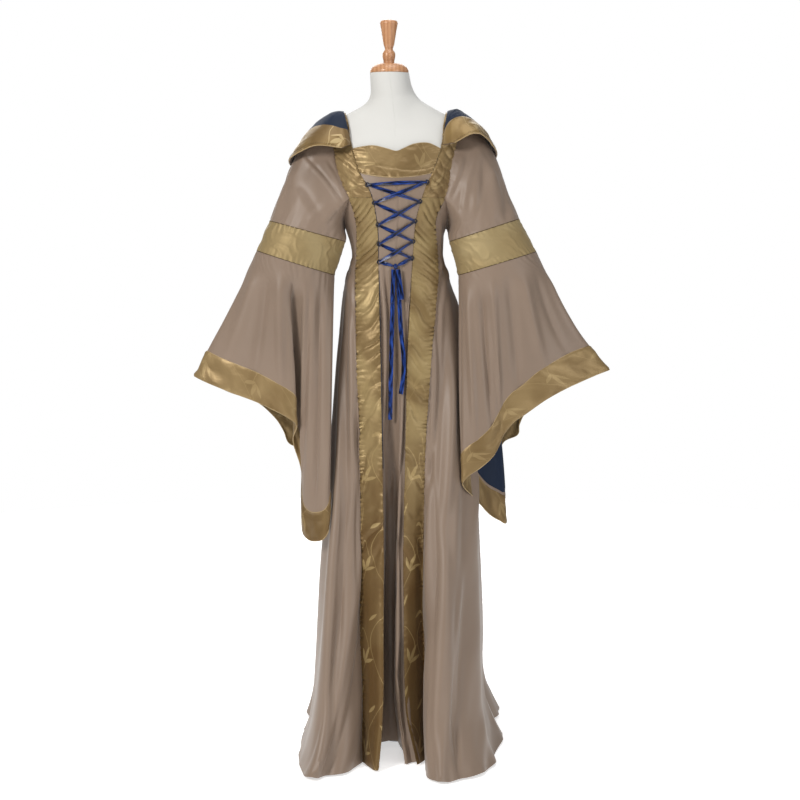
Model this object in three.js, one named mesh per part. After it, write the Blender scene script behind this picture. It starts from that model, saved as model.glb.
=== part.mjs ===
// A medieval style gown with bell sleeves, a laced front and a folded-down hood, on a dress form.
// Millimetres, +Z up, the gown's front faces -Y. The origin is on the floor under the form's pole.
// Sides are the wearer's: right is at -X and left is at +X.
import * as THREE from 'three';
import * as BufferGeometryUtils from 'three/addons/utils/BufferGeometryUtils.js';

// Driving dimensions
const CLOTH = 1.5; // outer cloth with its turnings
const LINING = 1.0;
const GAP = 0.3; // between pieces at a seam
const FORM_CLEARANCE = 3.4; // from the form's cover to the cloth's inside
const FOLD_TOP = 900; // skirt folds start below this height
const FOLD_GROWTH = 1.3;
const BODY_FROM = 1125; // above this the bodice starts to follow the form
const BODY_FULL = 1170; // and from here it follows it fully
const UNDERARM_Z = 1195;
const BAND_TOP_Z = 1262; // front bands end and shoulder straps start
const YOKE_BOTTOM_Z = 1306;
const YOKE_ARCH = 10; // rise of the yoke's lower seam at its ends
const YOKE_SIDE_Z = 1370;
const CHEST_Z = 1400; // above this a strap turns over the shoulder
const BACK_NECK_Z = 1432;
const SIDE_SEAM_DEG = 95; // from the centre front
const CUFF_TRIM_WIDTH = 65;
const HOOD_FACING_FRONT = 80; // the facing's width at the hood's front ends
const HOOD_FACING_BACK = 62;
const RIBBON_WIDTH = 9.5;
const RIBBON_THICK = 0.8;

// Half widths and depths of the gown from the pole's axis, a row for each height
const GOWN_ROWS = [
  { z: 4, right: 214, left: 240, front: 262, back: 345, power: 2.1 },
  { z: 44, right: 199, left: 221, front: 252, back: 330, power: 2.1 },
  { z: 100, right: 186, left: 201, front: 240, back: 315, power: 2.1 },
  { z: 160, right: 178, left: 195, front: 228, back: 300, power: 2.1 },
  { z: 312, right: 170, left: 194, front: 198, back: 262, power: 2.1 },
  { z: 463, right: 161, left: 190, front: 170, back: 222, power: 2.1 },
  { z: 614, right: 148, left: 184, front: 146, back: 182, power: 2.1 },
  { z: 760, right: 140, left: 176, front: 124, back: 150, power: 2.1 },
  { z: 874, right: 133, left: 165, front: 108, back: 128, power: 2.2 },
  { z: 947, right: 128, left: 154, front: 98, back: 118, power: 2.2 },
  { z: 1021, right: 123, left: 139, front: 87, back: 106, power: 2.2 },
  { z: 1057, right: 118, left: 126, front: 80, back: 98, power: 2.2 },
  { z: 1094, right: 109, left: 115, front: 77, back: 87, power: 2.2 },
  { z: 1130, right: 99, left: 103, front: 77, back: 79, power: 2.2 },
  { z: 1180, right: 108, left: 110, front: 94, back: 86, power: 2.2 },
];

// The seams of the centre front: distance from the middle of the front, a row for each height
const SEAM_ROWS = [
  { z: 4, outerRight: -77, innerRight: -40, innerLeft: 46, outerLeft: 73 },
  { z: 127, outerRight: -78, innerRight: -29, innerLeft: 22, outerLeft: 69 },
  { z: 319, outerRight: -80, innerRight: -28, innerLeft: 17, outerLeft: 63 },
  { z: 478, outerRight: -80, innerRight: -27, innerLeft: 16, outerLeft: 62 },
  { z: 720, outerRight: -81, innerRight: -31, innerLeft: 21, outerLeft: 67 },
  { z: 902, outerRight: -88, innerRight: -34, innerLeft: 25, outerLeft: 79 },
  { z: 1077, outerRight: -91, innerRight: -38, innerLeft: 34, outerLeft: 94 },
  { z: 1128, outerRight: -88, innerRight: -39, innerLeft: 37, outerLeft: 92 },
  { z: 1190, outerRight: -87, innerRight: -40, innerLeft: 41, outerLeft: 88 },
  { z: 1222, outerRight: -91, innerRight: -44, innerLeft: 46, outerLeft: 91 },
  { z: 1262, outerRight: -104, innerRight: -52, innerLeft: 57, outerLeft: 109 },
  { z: 1290, outerRight: -118, innerRight: -64, innerLeft: 67, outerLeft: 117 },
  { z: 1322, outerRight: -130, innerRight: -82, innerLeft: 83, outerLeft: 121 },
  { z: 1370, outerRight: -139, innerRight: -96, innerLeft: 99, outerLeft: 132 },
  { z: 1400, outerRight: -144, innerRight: -103, innerLeft: 104, outerLeft: 140 },
];
const STRAP_TOP = { outerRight: -147, innerRight: -114, innerLeft: 112, outerLeft: 147 };

// The hem seen from above, going round from the centre back by the wearer's right side.
// The whole part of the turn counts the pieces: back, side front, band, centre, band, side front, back.
const HEM_ROWS = [
  { turn: 0.0, x: 0, y: 396, z: 4 },
  { turn: 0.1, x: -40, y: 402, z: 4 },
  { turn: 0.2, x: -78, y: 378, z: 4 },
  { turn: 0.3, x: -120, y: 376, z: 4 },
  { turn: 0.4, x: -147, y: 332, z: 4 },
  { turn: 0.5, x: -184, y: 308, z: 4 },
  { turn: 0.6, x: -192, y: 250, z: 4 },
  { turn: 0.7, x: -214, y: 206, z: 4 },
  { turn: 0.8, x: -209, y: 146, z: 4 },
  { turn: 0.9, x: -219, y: 86, z: 4 },
  { turn: 1.0, x: -213, y: 25, z: 4 },
  { turn: 1.1, x: -217, y: -50, z: 4 },
  { turn: 1.2, x: -214, y: -130, z: 4 },
  { turn: 1.3, x: -213, y: -215, z: 4 },
  { turn: 1.4, x: -202, y: -282, z: 4 },
  { turn: 1.5, x: -180, y: -302, z: 4 },
  { turn: 1.6, x: -156, y: -284, z: 4 },
  { turn: 1.7, x: -132, y: -277, z: 4 },
  { turn: 1.8, x: -110, y: -258, z: 4 },
  { turn: 1.9, x: -91, y: -220, z: 4 },
  { turn: 2.0, x: -77, y: -189, z: 4 },
  { turn: 2.5, x: -60, y: -220, z: 4 },
  { turn: 3.0, x: -40, y: -247, z: 4 },
  { turn: 3 + 1 / 12, x: -37, y: -190, z: 6 },
  { turn: 3 + 2 / 12, x: -35, y: -132, z: 12 },
  { turn: 3 + 3 / 12, x: -33, y: -90, z: 16 },
  { turn: 3 + 4 / 12, x: -21, y: -78, z: 17 },
  { turn: 3 + 5 / 12, x: -6, y: -75, z: 17 },
  { turn: 3 + 6 / 12, x: 5, y: -84, z: 16 },
  { turn: 3 + 7 / 12, x: 7, y: -130, z: 12 },
  { turn: 3 + 8 / 12, x: 7, y: -174, z: 6 },
  { turn: 3 + 9 / 12, x: 14, y: -203, z: 4 },
  { turn: 3 + 10 / 12, x: 27, y: -205, z: 4 },
  { turn: 3 + 11 / 12, x: 39, y: -196, z: 4 },
  { turn: 4.0, x: 46, y: -207, z: 4 },
  { turn: 4.5, x: 61, y: -182, z: 4 },
  { turn: 5.0, x: 73, y: -154, z: 4 },
  { turn: 5.1, x: 73, y: -215, z: 4 },
  { turn: 5.2, x: 75, y: -280, z: 4 },
  { turn: 5.3, x: 89, y: -321, z: 4 },
  { turn: 5.4, x: 114, y: -327, z: 4 },
  { turn: 5.5, x: 140, y: -306, z: 4 },
  { turn: 5.6, x: 165, y: -292, z: 4 },
  { turn: 5.7, x: 194, y: -258, z: 4 },
  { turn: 5.8, x: 219, y: -197, z: 4 },
  { turn: 5.9, x: 229, y: -125, z: 4 },
  { turn: 6.0, x: 249, y: -8, z: 4 },
  { turn: 6.1, x: 239, y: 50, z: 4 },
  { turn: 6.2, x: 229, y: 115, z: 4 },
  { turn: 6.3, x: 251, y: 190, z: 4 },
  { turn: 6.4, x: 257, y: 262, z: 4 },
  { turn: 6.5, x: 219, y: 312, z: 4 },
  { turn: 6.6, x: 190, y: 368, z: 4 },
  { turn: 6.7, x: 145, y: 374, z: 4 },
  { turn: 6.8, x: 106, y: 404, z: 4 },
  { turn: 6.9, x: 50, y: 384, z: 4 },
  { turn: 7.0, x: 0, y: 396, z: 4 },
];

// The back edge of the armhole: angle from the centre front, a row for each height
const ARMHOLE_BACK_ROWS = [
  { z: 1195, angle: 95 },
  { z: 1222, angle: 103 },
  { z: 1252, angle: 110 },
  { z: 1285, angle: 115 },
  { z: 1320, angle: 116.5 },
  { z: 1355, angle: 115 },
  { z: 1388, angle: 111 },
  { z: 1412, angle: 107 },
  { z: 1432, angle: 102 },
];

// The dress form's torso: half width, front and back depth, a row for each height
const FORM_ROWS = [
  { z: 860, side: 112, front: 80, back: 92 },
  { z: 900, side: 116, front: 84, back: 98 },
  { z: 950, side: 113, front: 82, back: 96 },
  { z: 1000, side: 103, front: 76, back: 86 },
  { z: 1050, side: 95, front: 70, back: 76 },
  { z: 1100, side: 91, front: 68, back: 72 },
  { z: 1130, side: 94, front: 72, back: 74 },
  { z: 1180, side: 104, front: 88, back: 80 },
  { z: 1230, side: 122, front: 104, back: 88 },
  { z: 1270, side: 134, front: 112, back: 94 },
  { z: 1310, side: 142, front: 106, back: 97 },
  { z: 1350, side: 148, front: 92, back: 97 },
  { z: 1390, side: 146, front: 76, back: 90 },
  { z: 1420, side: 128, front: 58, back: 78 },
  { z: 1450, side: 92, front: 42, back: 62 },
  { z: 1480, side: 50, front: 30, back: 40 },
];
const FORM_POWER = 2.3;
const SHOULDER_IN = { x: 50, y: 8, z: 1431, radius: 40 };
const SHOULDER_OUT = { x: 146, y: 6, z: 1396, radius: 35 };
const NECK_BOTTOM = { x: -2, y: 4, z: 1430, radius: 52 };
const NECK_TOP = { x: -15, y: -4, z: 1541, radius: 43.5 };
const BLEND = 26; // how softly neck, shoulders and chest run together

// Heights of the rows of points that all the pieces of the skirt and bodice share
const SKIRT_Z = [4, 50, 120, 210, 320, 440, 560, 680, 790, 880, 955, 1020, 1075, 1125, 1160];
const BACK_ARMHOLE_Z = [1195, 1222, 1252, 1285, 1320, 1355, 1386, 1411, 1432];
const STRAP_FRONT_Z = [1262, 1280, 1298, 1316, 1334, 1352, 1370, 1400];
const STRAP_TURN_DEG = [30, 60, 90, 118];

// Sleeves: the elbow band's two rings, each a centre, the reach to its outer point and to its front
const ARMS = {
  right: {
    side: -1,
    upper: { centre: [-199, -35, 1187], out: [-84, 0, 23], fore: [0, -65, 2] },
    lower: { centre: [-226, -45, 1116], out: [-86, 0, 27], fore: [0, -68, 2] },
    hem: [
      { turn: 0.01, x: -153, y: -124, z: 550 },
      { turn: 0.04, x: -151, y: -137, z: 524 },
      { turn: 0.075, x: -161, y: -142, z: 504 },
      { turn: 0.105, x: -178, y: -130, z: 496 },
      { turn: 0.135, x: -197, y: -108, z: 495 },
      { turn: 0.165, x: -212, y: -84, z: 510 },
      { turn: 0.19, x: -214, y: -62, z: 550 },
      { turn: 0.215, x: -215, y: -48, z: 640 },
      { turn: 0.24, x: -234, y: -62, z: 712 },
      { turn: 0.265, x: -224, y: -90, z: 752 },
      { turn: 0.29, x: -243, y: -96, z: 771 },
      { turn: 0.33, x: -275, y: -93, z: 788 },
      { turn: 0.38, x: -318, y: -84, z: 807 },
      { turn: 0.43, x: -373, y: -72, z: 826 },
      { turn: 0.48, x: -431, y: -52, z: 847 },
      { turn: 0.52, x: -459, y: -30, z: 858 },
      { turn: 0.56, x: -440, y: -4, z: 846 },
      { turn: 0.62, x: -385, y: 8, z: 818 },
      { turn: 0.69, x: -322, y: 12, z: 795 },
      { turn: 0.75, x: -280, y: 14, z: 758 },
      { turn: 0.8, x: -260, y: 18, z: 726 },
      { turn: 0.84, x: -249, y: 22, z: 698 },
      { turn: 0.89, x: -217, y: 26, z: 676 },
      { turn: 0.95, x: -187, y: -10, z: 602 },
    ],
  },
  left: {
    side: 1,
    upper: { centre: [199, -35, 1189], out: [77, 0, 25], fore: [0, -65, 2] },
    lower: { centre: [228, -45, 1115], out: [86, 0, 26], fore: [0, -68, 2] },
    hem: [
      { turn: 0.04, x: 150, y: -124, z: 627, sway: -4 },
      { turn: 0.08, x: 163, y: -126, z: 644 },
      { turn: 0.12, x: 190, y: -124, z: 662 },
      { turn: 0.16, x: 217, y: -116, z: 686 },
      { turn: 0.19, x: 232, y: -106, z: 711 },
      { turn: 0.22, x: 242, y: -99, z: 733 },
      { turn: 0.25, x: 264, y: -95, z: 760 },
      { turn: 0.28, x: 291, y: -94, z: 779 },
      { turn: 0.32, x: 337, y: -90, z: 811, sway: -6 },
      { turn: 0.37, x: 385, y: -79, z: 836, sway: -10 },
      { turn: 0.43, x: 435, y: -62, z: 857, sway: -15 },
      { turn: 0.5, x: 484, y: -38, z: 873, sway: -18 },
      { turn: 0.55, x: 465, y: -12, z: 862, sway: -16 },
      { turn: 0.6, x: 415, y: 0, z: 838, sway: -10 },
      { turn: 0.63, x: 350, y: 10, z: 806, sway: -5 },
      { turn: 0.66, x: 302, y: 14, z: 772 },
      { turn: 0.69, x: 285, y: 18, z: 741 },
      { turn: 0.72, x: 281, y: 24, z: 716 },
      { turn: 0.75, x: 247, y: 34, z: 694 },
      { turn: 0.775, x: 238, y: 30, z: 640 },
      { turn: 0.8, x: 246, y: 6, z: 572, sway: 5 },
      { turn: 0.82, x: 255, y: -28, z: 522, sway: 8 },
      { turn: 0.85, x: 237, y: -46, z: 528, sway: 6 },
      { turn: 0.885, x: 212, y: -60, z: 546 },
      { turn: 0.92, x: 184, y: -78, z: 580 },
      { turn: 0.96, x: 169, y: -102, z: 598 },
      { turn: 1.0, x: 156, y: -114, z: 612, sway: -4 },
    ],
  },
};
const UPPER_SLEEVE_STEPS = 6;
const BELL_STEPS = 5;
const MIN_SLANT = 0.08; // the steepest seam line reckoned with, as the sine to the cloth's fall

// The hood laid down the back, a row for each station from one front end to the other.
// seat is the place along the neckline (0 at the front, 1 at the centre back), then come three
// points of the profile and the face edge.
const HOOD_ROWS = [
  { side: -1, seat: 0.0, profile: [[-108, -82, 1377], [-112, -86, 1375], [-116, -89, 1373], [-120, -91, 1372]] },
  { side: -1, seat: 0.2, profile: [[-122, -66, 1412], [-140, -76, 1400], [-157, -84, 1387], [-171, -89, 1377]] },
  { side: -1, seat: 0.42, profile: [[-134, -18, 1451], [-163, -38, 1429], [-190, -58, 1399], [-211, -76, 1365]] },
  { side: -1, seat: 0.62, profile: [[-142, 24, 1450], [-182, 20, 1425], [-219, -2, 1382], [-240, -34, 1346]] },
  { side: -1, seat: 0.75, profile: [[-130, 66, 1424], [-172, 84, 1376], [-206, 80, 1338], [-226, 52, 1328]] },
  { side: -1, seat: 0.87, profile: [[-80, 98, 1398], [-104, 118, 1268], [-130, 138, 1256], [-156, 132, 1330]] },
  { side: 0, seat: 1.0, profile: [[0, 104, 1398], [0, 122, 1224], [0, 152, 1200], [0, 166, 1326]] },
  { side: 1, seat: 0.87, profile: [[80, 98, 1398], [104, 118, 1268], [130, 138, 1256], [154, 132, 1332]] },
  { side: 1, seat: 0.75, profile: [[130, 66, 1425], [170, 84, 1380], [202, 80, 1350], [219, 54, 1342]] },
  { side: 1, seat: 0.62, profile: [[141, 24, 1454], [177, 22, 1430], [207, 4, 1400], [225, -26, 1366]] },
  { side: 1, seat: 0.42, profile: [[134, -18, 1456], [159, -38, 1438], [181, -56, 1419], [198, -72, 1396]] },
  { side: 1, seat: 0.2, profile: [[122, -60, 1420], [140, -72, 1414], [157, -80, 1407], [171, -86, 1403]] },
  { side: 1, seat: 0.0, profile: [[112, -80, 1380], [118, -84, 1381], [124, -87, 1382], [130, -89, 1383]] },
];
const HOOD_STATION_STEPS = 2; // points between two stations
const HOOD_SEAM_IN = 2; // from the neckline's edge onto the strap
const HOOD_END_LIFT = 2.2; // at the hood's front ends, which lie on the straps
const HOOD_SEAM_LIFT = 5.6; // above the strap's outside
const HOOD_LINING_STEPS = 5;
const HOOD_LINING_SHARE = 0.2; // of the profile, where the hood is too narrow for its facing
const HOOD_FACING_STEPS = 2;

// Ribbon loops along the two inner seams: the heights of each pair, and how far their middle lies
// from the cloth, which is more where the bodice curves under them
const LOOP_ROWS = [
  { right: 1290, left: 1296, lift: 1.6 },
  { right: 1251, left: 1254, lift: 1.3 },
  { right: 1203, left: 1211, lift: 1.9 },
  { right: 1160, left: 1166, lift: 2.05 },
  { right: 1119, left: 1128, lift: 2.05 },
];
const KNOT = { x: -1, z: 1109 };
const LOOP_RADIUS = 4.4;
const LOOP_THICK = 1.1;
const LACE_LOW = 1.6; // the lower ribbon of a crossing
const LACE_HIGH = 3;
const LACE_TOP = 4.4;
const KNOT_LIFT = 5.2;
const KNOT_RADII = [5.2, 4.4, 6.2];
const KNOT_END_GAP = 6; // from the knot's middle to the ribbons that run into it
const TAIL_RIGHT = [
  { x: -13, z: 768, lift: 2.5 },
  { x: -12, z: 825, lift: 3 },
  { x: -10.5, z: 890, lift: 3.5 },
  { x: -9, z: 960, lift: 4 },
  { x: -7.5, z: 1030, lift: 4.6 },
  { x: -5.4, z: 1102.3, lift: KNOT_LIFT },
];
const TAIL_LEFT = [
  { x: 10.5, z: 826, lift: 3.5 },
  { x: 15.5, z: 862, lift: 4.5 },
  { x: 16.5, z: 908, lift: 4.5 },
  { x: 11, z: 965, lift: 4 },
  { x: 8, z: 1015, lift: 4.6 },
  { x: 4.8, z: 1102.3, lift: KNOT_LIFT },
];
const TAIL_STEP = 22;
const BOW_LOOPS = {
  right: { top: [-5.2, 1102.3], bottom: [-8, 1028], lift: 7.7 },
  left: { top: [4.8, 1102.3], bottom: [13, 1036], lift: 7.7 },
};

// The form's top and its stand
const POLE_RADIUS = 14;
const HUB_RADIUS = 28;
const HUB_HEIGHT = 30;
const LEG_REACH = 200;
const LEG_WIDTH = 22;
const LEG_ANGLES_DEG = [60, -60, 180]; // from the front
const CAP_PROFILE = [[0, 0], [43.5, 0], [43.5, 5], [40, 12], [34, 17], [28.5, 20], [0, 20]];
const FINIAL_PROFILE = [
  [0, 0], [12.3, 0], [12.3, 6], [14.5, 16], [14.5, 23], [11, 29], [9, 31], [9, 34], [12, 42],
  [17.5, 76], [20.3, 90], [18, 95], [10, 97], [0, 97],
];

const COLOURS = {
  taupe: 0x85766a,
  gold: 0x9d8257,
  navy: 0x26304a,
  ribbon: 0x2d3f86,
  loop: 0x15182a,
  cover: 0xdfdeda,
  wood: 0xc99c76,
  metal: 0x8b8d90,
};

// Small numeric helpers
const radians = (degrees) => (degrees * Math.PI) / 180;
const mix = (a, b, t) => a + (b - a) * t;
const clamp01 = (t) => Math.min(1, Math.max(0, t));
const ease = (t) => clamp01(t) ** 2 * (3 - 2 * clamp01(t));
const vec = (x, y, z) => new THREE.Vector3(x, y, z);
const fromList = (list) => vec(...list);
const along = (a, b, t) => a.clone().lerp(b, t);

// The value of one column at a place between the rows, by a smooth curve through them
function column(rows, key, name, at) {
  const last = rows.length - 1;
  const x = Math.min(rows[last][key], Math.max(rows[0][key], at));
  let i = 0;
  while (i < last - 1 && rows[i + 1][key] < x) i += 1;
  const slope = (k) => {
    const a = Math.max(0, k - 1);
    const b = Math.min(last, k + 1);
    return (rows[b][name] - rows[a][name]) / (rows[b][key] - rows[a][key]);
  };
  const step = rows[i + 1][key] - rows[i][key];
  const t = (x - rows[i][key]) / step;
  const h = t * t * (3 - 2 * t);
  return (
    rows[i][name] * (1 - h) +
    rows[i + 1][name] * h +
    step * slope(i) * t * (1 - t) ** 2 -
    step * slope(i + 1) * t * t * (1 - t)
  );
}

function spline(points, t) {
  const at = clamp01(t) * (points.length - 1);
  const i = Math.min(points.length - 2, Math.floor(at));
  const f = at - i;
  const a = points[Math.max(0, i - 1)];
  const b = points[i];
  const c = points[i + 1];
  const d = points[Math.min(points.length - 1, i + 2)];
  const p = b.clone().multiplyScalar(2);
  p.addScaledVector(c.clone().sub(a), f);
  p.addScaledVector(a.clone().multiplyScalar(2).addScaledVector(b, -5).addScaledVector(c, 4).sub(d), f * f);
  p.addScaledVector(b.clone().multiplyScalar(3).addScaledVector(c, -3).add(d).sub(a), f * f * f);
  return p.multiplyScalar(0.5);
}

// The place between low and high where a rising function passes zero
function root(rising, low, high) {
  let a = low;
  let b = high;
  for (let i = 0; i < 44; i += 1) {
    const middle = (a + b) / 2;
    if (rising(middle) > 0) b = middle;
    else a = middle;
  }
  return (a + b) / 2;
}

// The dress form as a distance, negative inside
function softMin(a, b) {
  const near = Math.max(BLEND - Math.abs(a - b), 0) / BLEND;
  return Math.min(a, b) - (near * near * BLEND) / 4;
}

function roundCone(p, from, to, sideways) {
  const a = vec(from.x * sideways, from.y, from.z);
  const b = vec(to.x * sideways, to.y, to.z);
  const axis = b.clone().sub(a);
  const t = clamp01(p.clone().sub(a).dot(axis) / axis.lengthSq());
  return p.distanceTo(along(a, b, t)) - mix(from.radius, to.radius, t);
}

function torso(p) {
  const side = column(FORM_ROWS, 'z', 'side', p.z);
  const depth = column(FORM_ROWS, 'z', p.y < 0 ? 'front' : 'back', p.z);
  const reach = Math.hypot(p.x, p.y) + 1e-6;
  const q = ((Math.abs(p.x) / side) ** FORM_POWER + (Math.abs(p.y) / depth) ** FORM_POWER) ** (1 / FORM_POWER);
  const above = Math.max(0, p.z - FORM_ROWS[FORM_ROWS.length - 1].z);
  return reach - reach / Math.max(q, 1e-6) + above;
}

function formDistance(p) {
  const shoulder = roundCone(p, SHOULDER_IN, SHOULDER_OUT, p.x < 0 ? -1 : 1);
  const neck = roundCone(p, NECK_BOTTOM, NECK_TOP, 1);
  return softMin(softMin(torso(p), shoulder), neck);
}

// How far along a ray from inside the form its skin lies, moved out by lift
function formReach(from, direction, lift) {
  return root((r) => formDistance(from.clone().addScaledVector(direction, r)) - lift, 0, 420);
}

// The gown's trunk: an angle from the front and a height give a point of its inside
function sectionReach(direction, z) {
  const side = column(GOWN_ROWS, 'z', direction.x < 0 ? 'right' : 'left', z);
  const depth = column(GOWN_ROWS, 'z', direction.y < 0 ? 'front' : 'back', z);
  const power = column(GOWN_ROWS, 'z', 'power', z);
  return ((Math.abs(direction.x) / side) ** power + (Math.abs(direction.y) / depth) ** power) ** (-1 / power);
}

function smoothTrunk(angle, z) {
  const direction = vec(Math.sin(angle), -Math.cos(angle), 0);
  const body = ease((z - BODY_FROM) / (BODY_FULL - BODY_FROM));
  const skirt = body < 1 ? sectionReach(direction, z) : 0;
  const bodice = body > 0 ? formReach(vec(0, 0, z), direction, FORM_CLEARANCE) : 0;
  return direction.multiplyScalar(mix(skirt, bodice, body)).setZ(z);
}

const angleCache = new Map();

function seamAngle(name, z) {
  const key = `${name} ${z.toFixed(3)}`;
  if (!angleCache.has(key)) {
    const x = column(SEAM_ROWS, 'z', name, z);
    angleCache.set(key, root((angle) => smoothTrunk(angle, z).x - x, radians(-85), radians(85)));
  }
  return angleCache.get(key);
}

// The seven pieces go round from the centre back. backward tells which side of a side seam counts.
function seamAngles(z, backward) {
  const sideDeg = backward && z > UNDERARM_Z ? column(ARMHOLE_BACK_ROWS, 'z', 'angle', z) : SIDE_SEAM_DEG;
  const side = radians(sideDeg);
  const front = ['outerRight', 'innerRight', 'innerLeft', 'outerLeft'].map((name) => seamAngle(name, z));
  return [-Math.PI, -side, ...front, side, Math.PI];
}

function trunkAngle(turn, z) {
  const piece = Math.min(6, Math.max(0, Math.floor(turn)));
  const angles = seamAngles(z, piece === 0 || piece === 6);
  return mix(angles[piece], angles[piece + 1], turn - piece);
}

function trunkPoint(turn, z) {
  const round = Math.min(7, Math.max(0, turn));
  const p = smoothTrunk(trunkAngle(round, z), z);
  if (z >= FOLD_TOP) return p;
  const fold = (1 - z / FOLD_TOP) ** FOLD_GROWTH / (1 - SKIRT_Z[0] / FOLD_TOP) ** FOLD_GROWTH;
  const plain = smoothTrunk(trunkAngle(round, SKIRT_Z[0]), SKIRT_Z[0]);
  p.x += fold * (column(HEM_ROWS, 'turn', 'x', round) - plain.x);
  p.y += fold * (column(HEM_ROWS, 'turn', 'y', round) - plain.y);
  return p;
}

// A point of a surface with its outward normal, from a function of two parameters
function sample(surface, u, v, du, dv) {
  const across = surface(u + du, v).sub(surface(u - du, v));
  const up = surface(u, v + dv).sub(surface(u, v - dv));
  return { point: surface(u, v), normal: across.cross(up).normalize() };
}

const trunkCache = new Map();

function trunk(turn, z) {
  const key = `${turn.toFixed(6)} ${z.toFixed(4)}`;
  if (!trunkCache.has(key)) {
    const turnStep = 0.02;
    const inside = Math.min(7 - turnStep, Math.max(turnStep, turn));
    const found = sample(trunkPoint, inside, Math.max(z, SKIRT_Z[0] + 1), turnStep, 1);
    trunkCache.set(key, { point: trunkPoint(turn, z), normal: found.normal });
  }
  return trunkCache.get(key);
}

// A turn moved along the seam's level by a small distance
function shifted(turn, z, distance) {
  const step = 0.01;
  const back = Math.max(0, turn - step);
  const reach = trunkPoint(back + step, z).distanceTo(trunkPoint(back, z)) / step;
  return turn + distance / reach;
}

// A solid wall from a grid of points with normals, between two distances from the surface
function wall(grid, low, high, closed) {
  const across = grid.length;
  const rows = grid[0].length;
  const columns = closed ? across : across - 1;
  const positions = [];
  for (const distance of [low, high]) {
    for (const line of grid) {
      for (const { point, normal } of line) {
        const p = point.clone().addScaledVector(normal, distance);
        positions.push(p.x, p.y, p.z);
      }
    }
  }
  const at = (layer, i, j) => (layer * across + (i % across)) * rows + j;
  const faces = [];
  const quad = (a, b, c, d) => faces.push(a, b, c, a, c, d);
  for (let i = 0; i < columns; i += 1) {
    for (let j = 0; j < rows - 1; j += 1) {
      quad(at(1, i, j), at(1, i + 1, j), at(1, i + 1, j + 1), at(1, i, j + 1));
      quad(at(0, i, j), at(0, i, j + 1), at(0, i + 1, j + 1), at(0, i + 1, j));
    }
    quad(at(0, i, 0), at(0, i + 1, 0), at(1, i + 1, 0), at(1, i, 0));
    const top = rows - 1;
    quad(at(1, i + 1, top), at(0, i + 1, top), at(0, i, top), at(1, i, top));
  }
  if (!closed) {
    for (let j = 0; j < rows - 1; j += 1) {
      const end = across - 1;
      quad(at(0, 0, j), at(1, 0, j), at(1, 0, j + 1), at(0, 0, j + 1));
      quad(at(0, end, j), at(0, end, j + 1), at(1, end, j + 1), at(1, end, j));
    }
  }
  return outward(positions, faces);
}

// A geometry whose faces point out, whichever way its grid ran
function outward(positions, faces) {
  const p = (k) => vec(positions[3 * k], positions[3 * k + 1], positions[3 * k + 2]);
  let volume = 0;
  for (let k = 0; k < faces.length; k += 3) {
    volume += p(faces[k]).dot(p(faces[k + 1]).cross(p(faces[k + 2])));
  }
  if (volume < 0) faces.reverse();
  const geometry = new THREE.BufferGeometry();
  geometry.setAttribute('position', new THREE.Float32BufferAttribute(positions, 3));
  geometry.setIndex(faces);
  geometry.computeVertexNormals();
  return geometry;
}

// A grid of one piece of the trunk: its first and last turn, and the height of each row
function trunkGrid(first, last, steps, heights) {
  const grid = [];
  for (let i = 0; i <= steps; i += 1) {
    const turn = mix(first, last, i / steps);
    const side = i === 0 ? GAP / 2 : i === steps ? -GAP / 2 : 0;
    grid.push(
      heights(turn).map((z) => {
        if (!side) return trunk(turn, z);
        return { point: trunkPoint(shifted(turn, z, side), z), normal: trunk(turn, z).normal };
      }),
    );
  }
  return grid;
}

const hemHeight = (turn) => column(HEM_ROWS, 'turn', 'z', turn);
const skirtHeights = (turn) => [hemHeight(turn), ...SKIRT_Z.slice(1)];

function sideFrontHeights(first) {
  return (turn) => {
    const forward = first === 1 ? turn - 1 : 6 - turn;
    const top = mix(UNDERARM_Z, BAND_TOP_Z, forward ** 1.4) - GAP / 2;
    return [...skirtHeights(turn), mix(1160, top, 0.5), top];
  };
}

// Half the bodice's rows between the waist and the bands' tops
const bandHeights = (turn) => [...skirtHeights(turn), mix(1160, BAND_TOP_Z - GAP / 2, 0.5), BAND_TOP_Z - GAP / 2];

function centreHeights(turn) {
  const x = trunkPoint(turn, YOKE_BOTTOM_Z).x;
  const top = yokeSeam(x) - GAP / 2;
  const upper = [1, 2, 3].map((k) => mix(BAND_TOP_Z, top, k / 3));
  return [...skirtHeights(turn), mix(1160, BAND_TOP_Z, 0.5), BAND_TOP_Z, ...upper];
}

function backHeights(turn) {
  const upper = BACK_ARMHOLE_Z.slice(0, -1);
  return [...skirtHeights(turn), ...upper, BACK_NECK_Z - GAP / 2];
}

// The chest and shoulders: a place across the front and a place up over the shoulder
const seamX = (name, z) => column(SEAM_ROWS, 'z', name, z);

function yokeSeam(x) {
  return YOKE_BOTTOM_Z + YOKE_ARCH * (x / 78) ** 2;
}

function chestPoint(x, z) {
  const from = vec(x, 0, z);
  const direction = vec(0, -1, 0);
  return from.addScaledVector(direction, formReach(from, direction, FORM_CLEARANCE));
}

// Over the shoulder: degrees from straight forward, up and back, about a line inside it
function shoulderPoint(x, degrees) {
  const from = vec(x, SHOULDER_OUT.y, CHEST_Z);
  const direction = vec(0, -Math.cos(radians(degrees)), Math.sin(radians(degrees)));
  return from.clone().addScaledVector(direction, formReach(from, direction, FORM_CLEARANCE));
}

// One row of a strap: across runs from its outer edge to its inner one
function strapStations() {
  const rows = STRAP_FRONT_Z.map((z) => ({ z, degrees: 0 }));
  STRAP_TURN_DEG.forEach((degrees) => rows.push({ z: CHEST_Z, degrees }));
  rows.push({ z: CHEST_Z, degrees: null });
  return rows;
}

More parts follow.
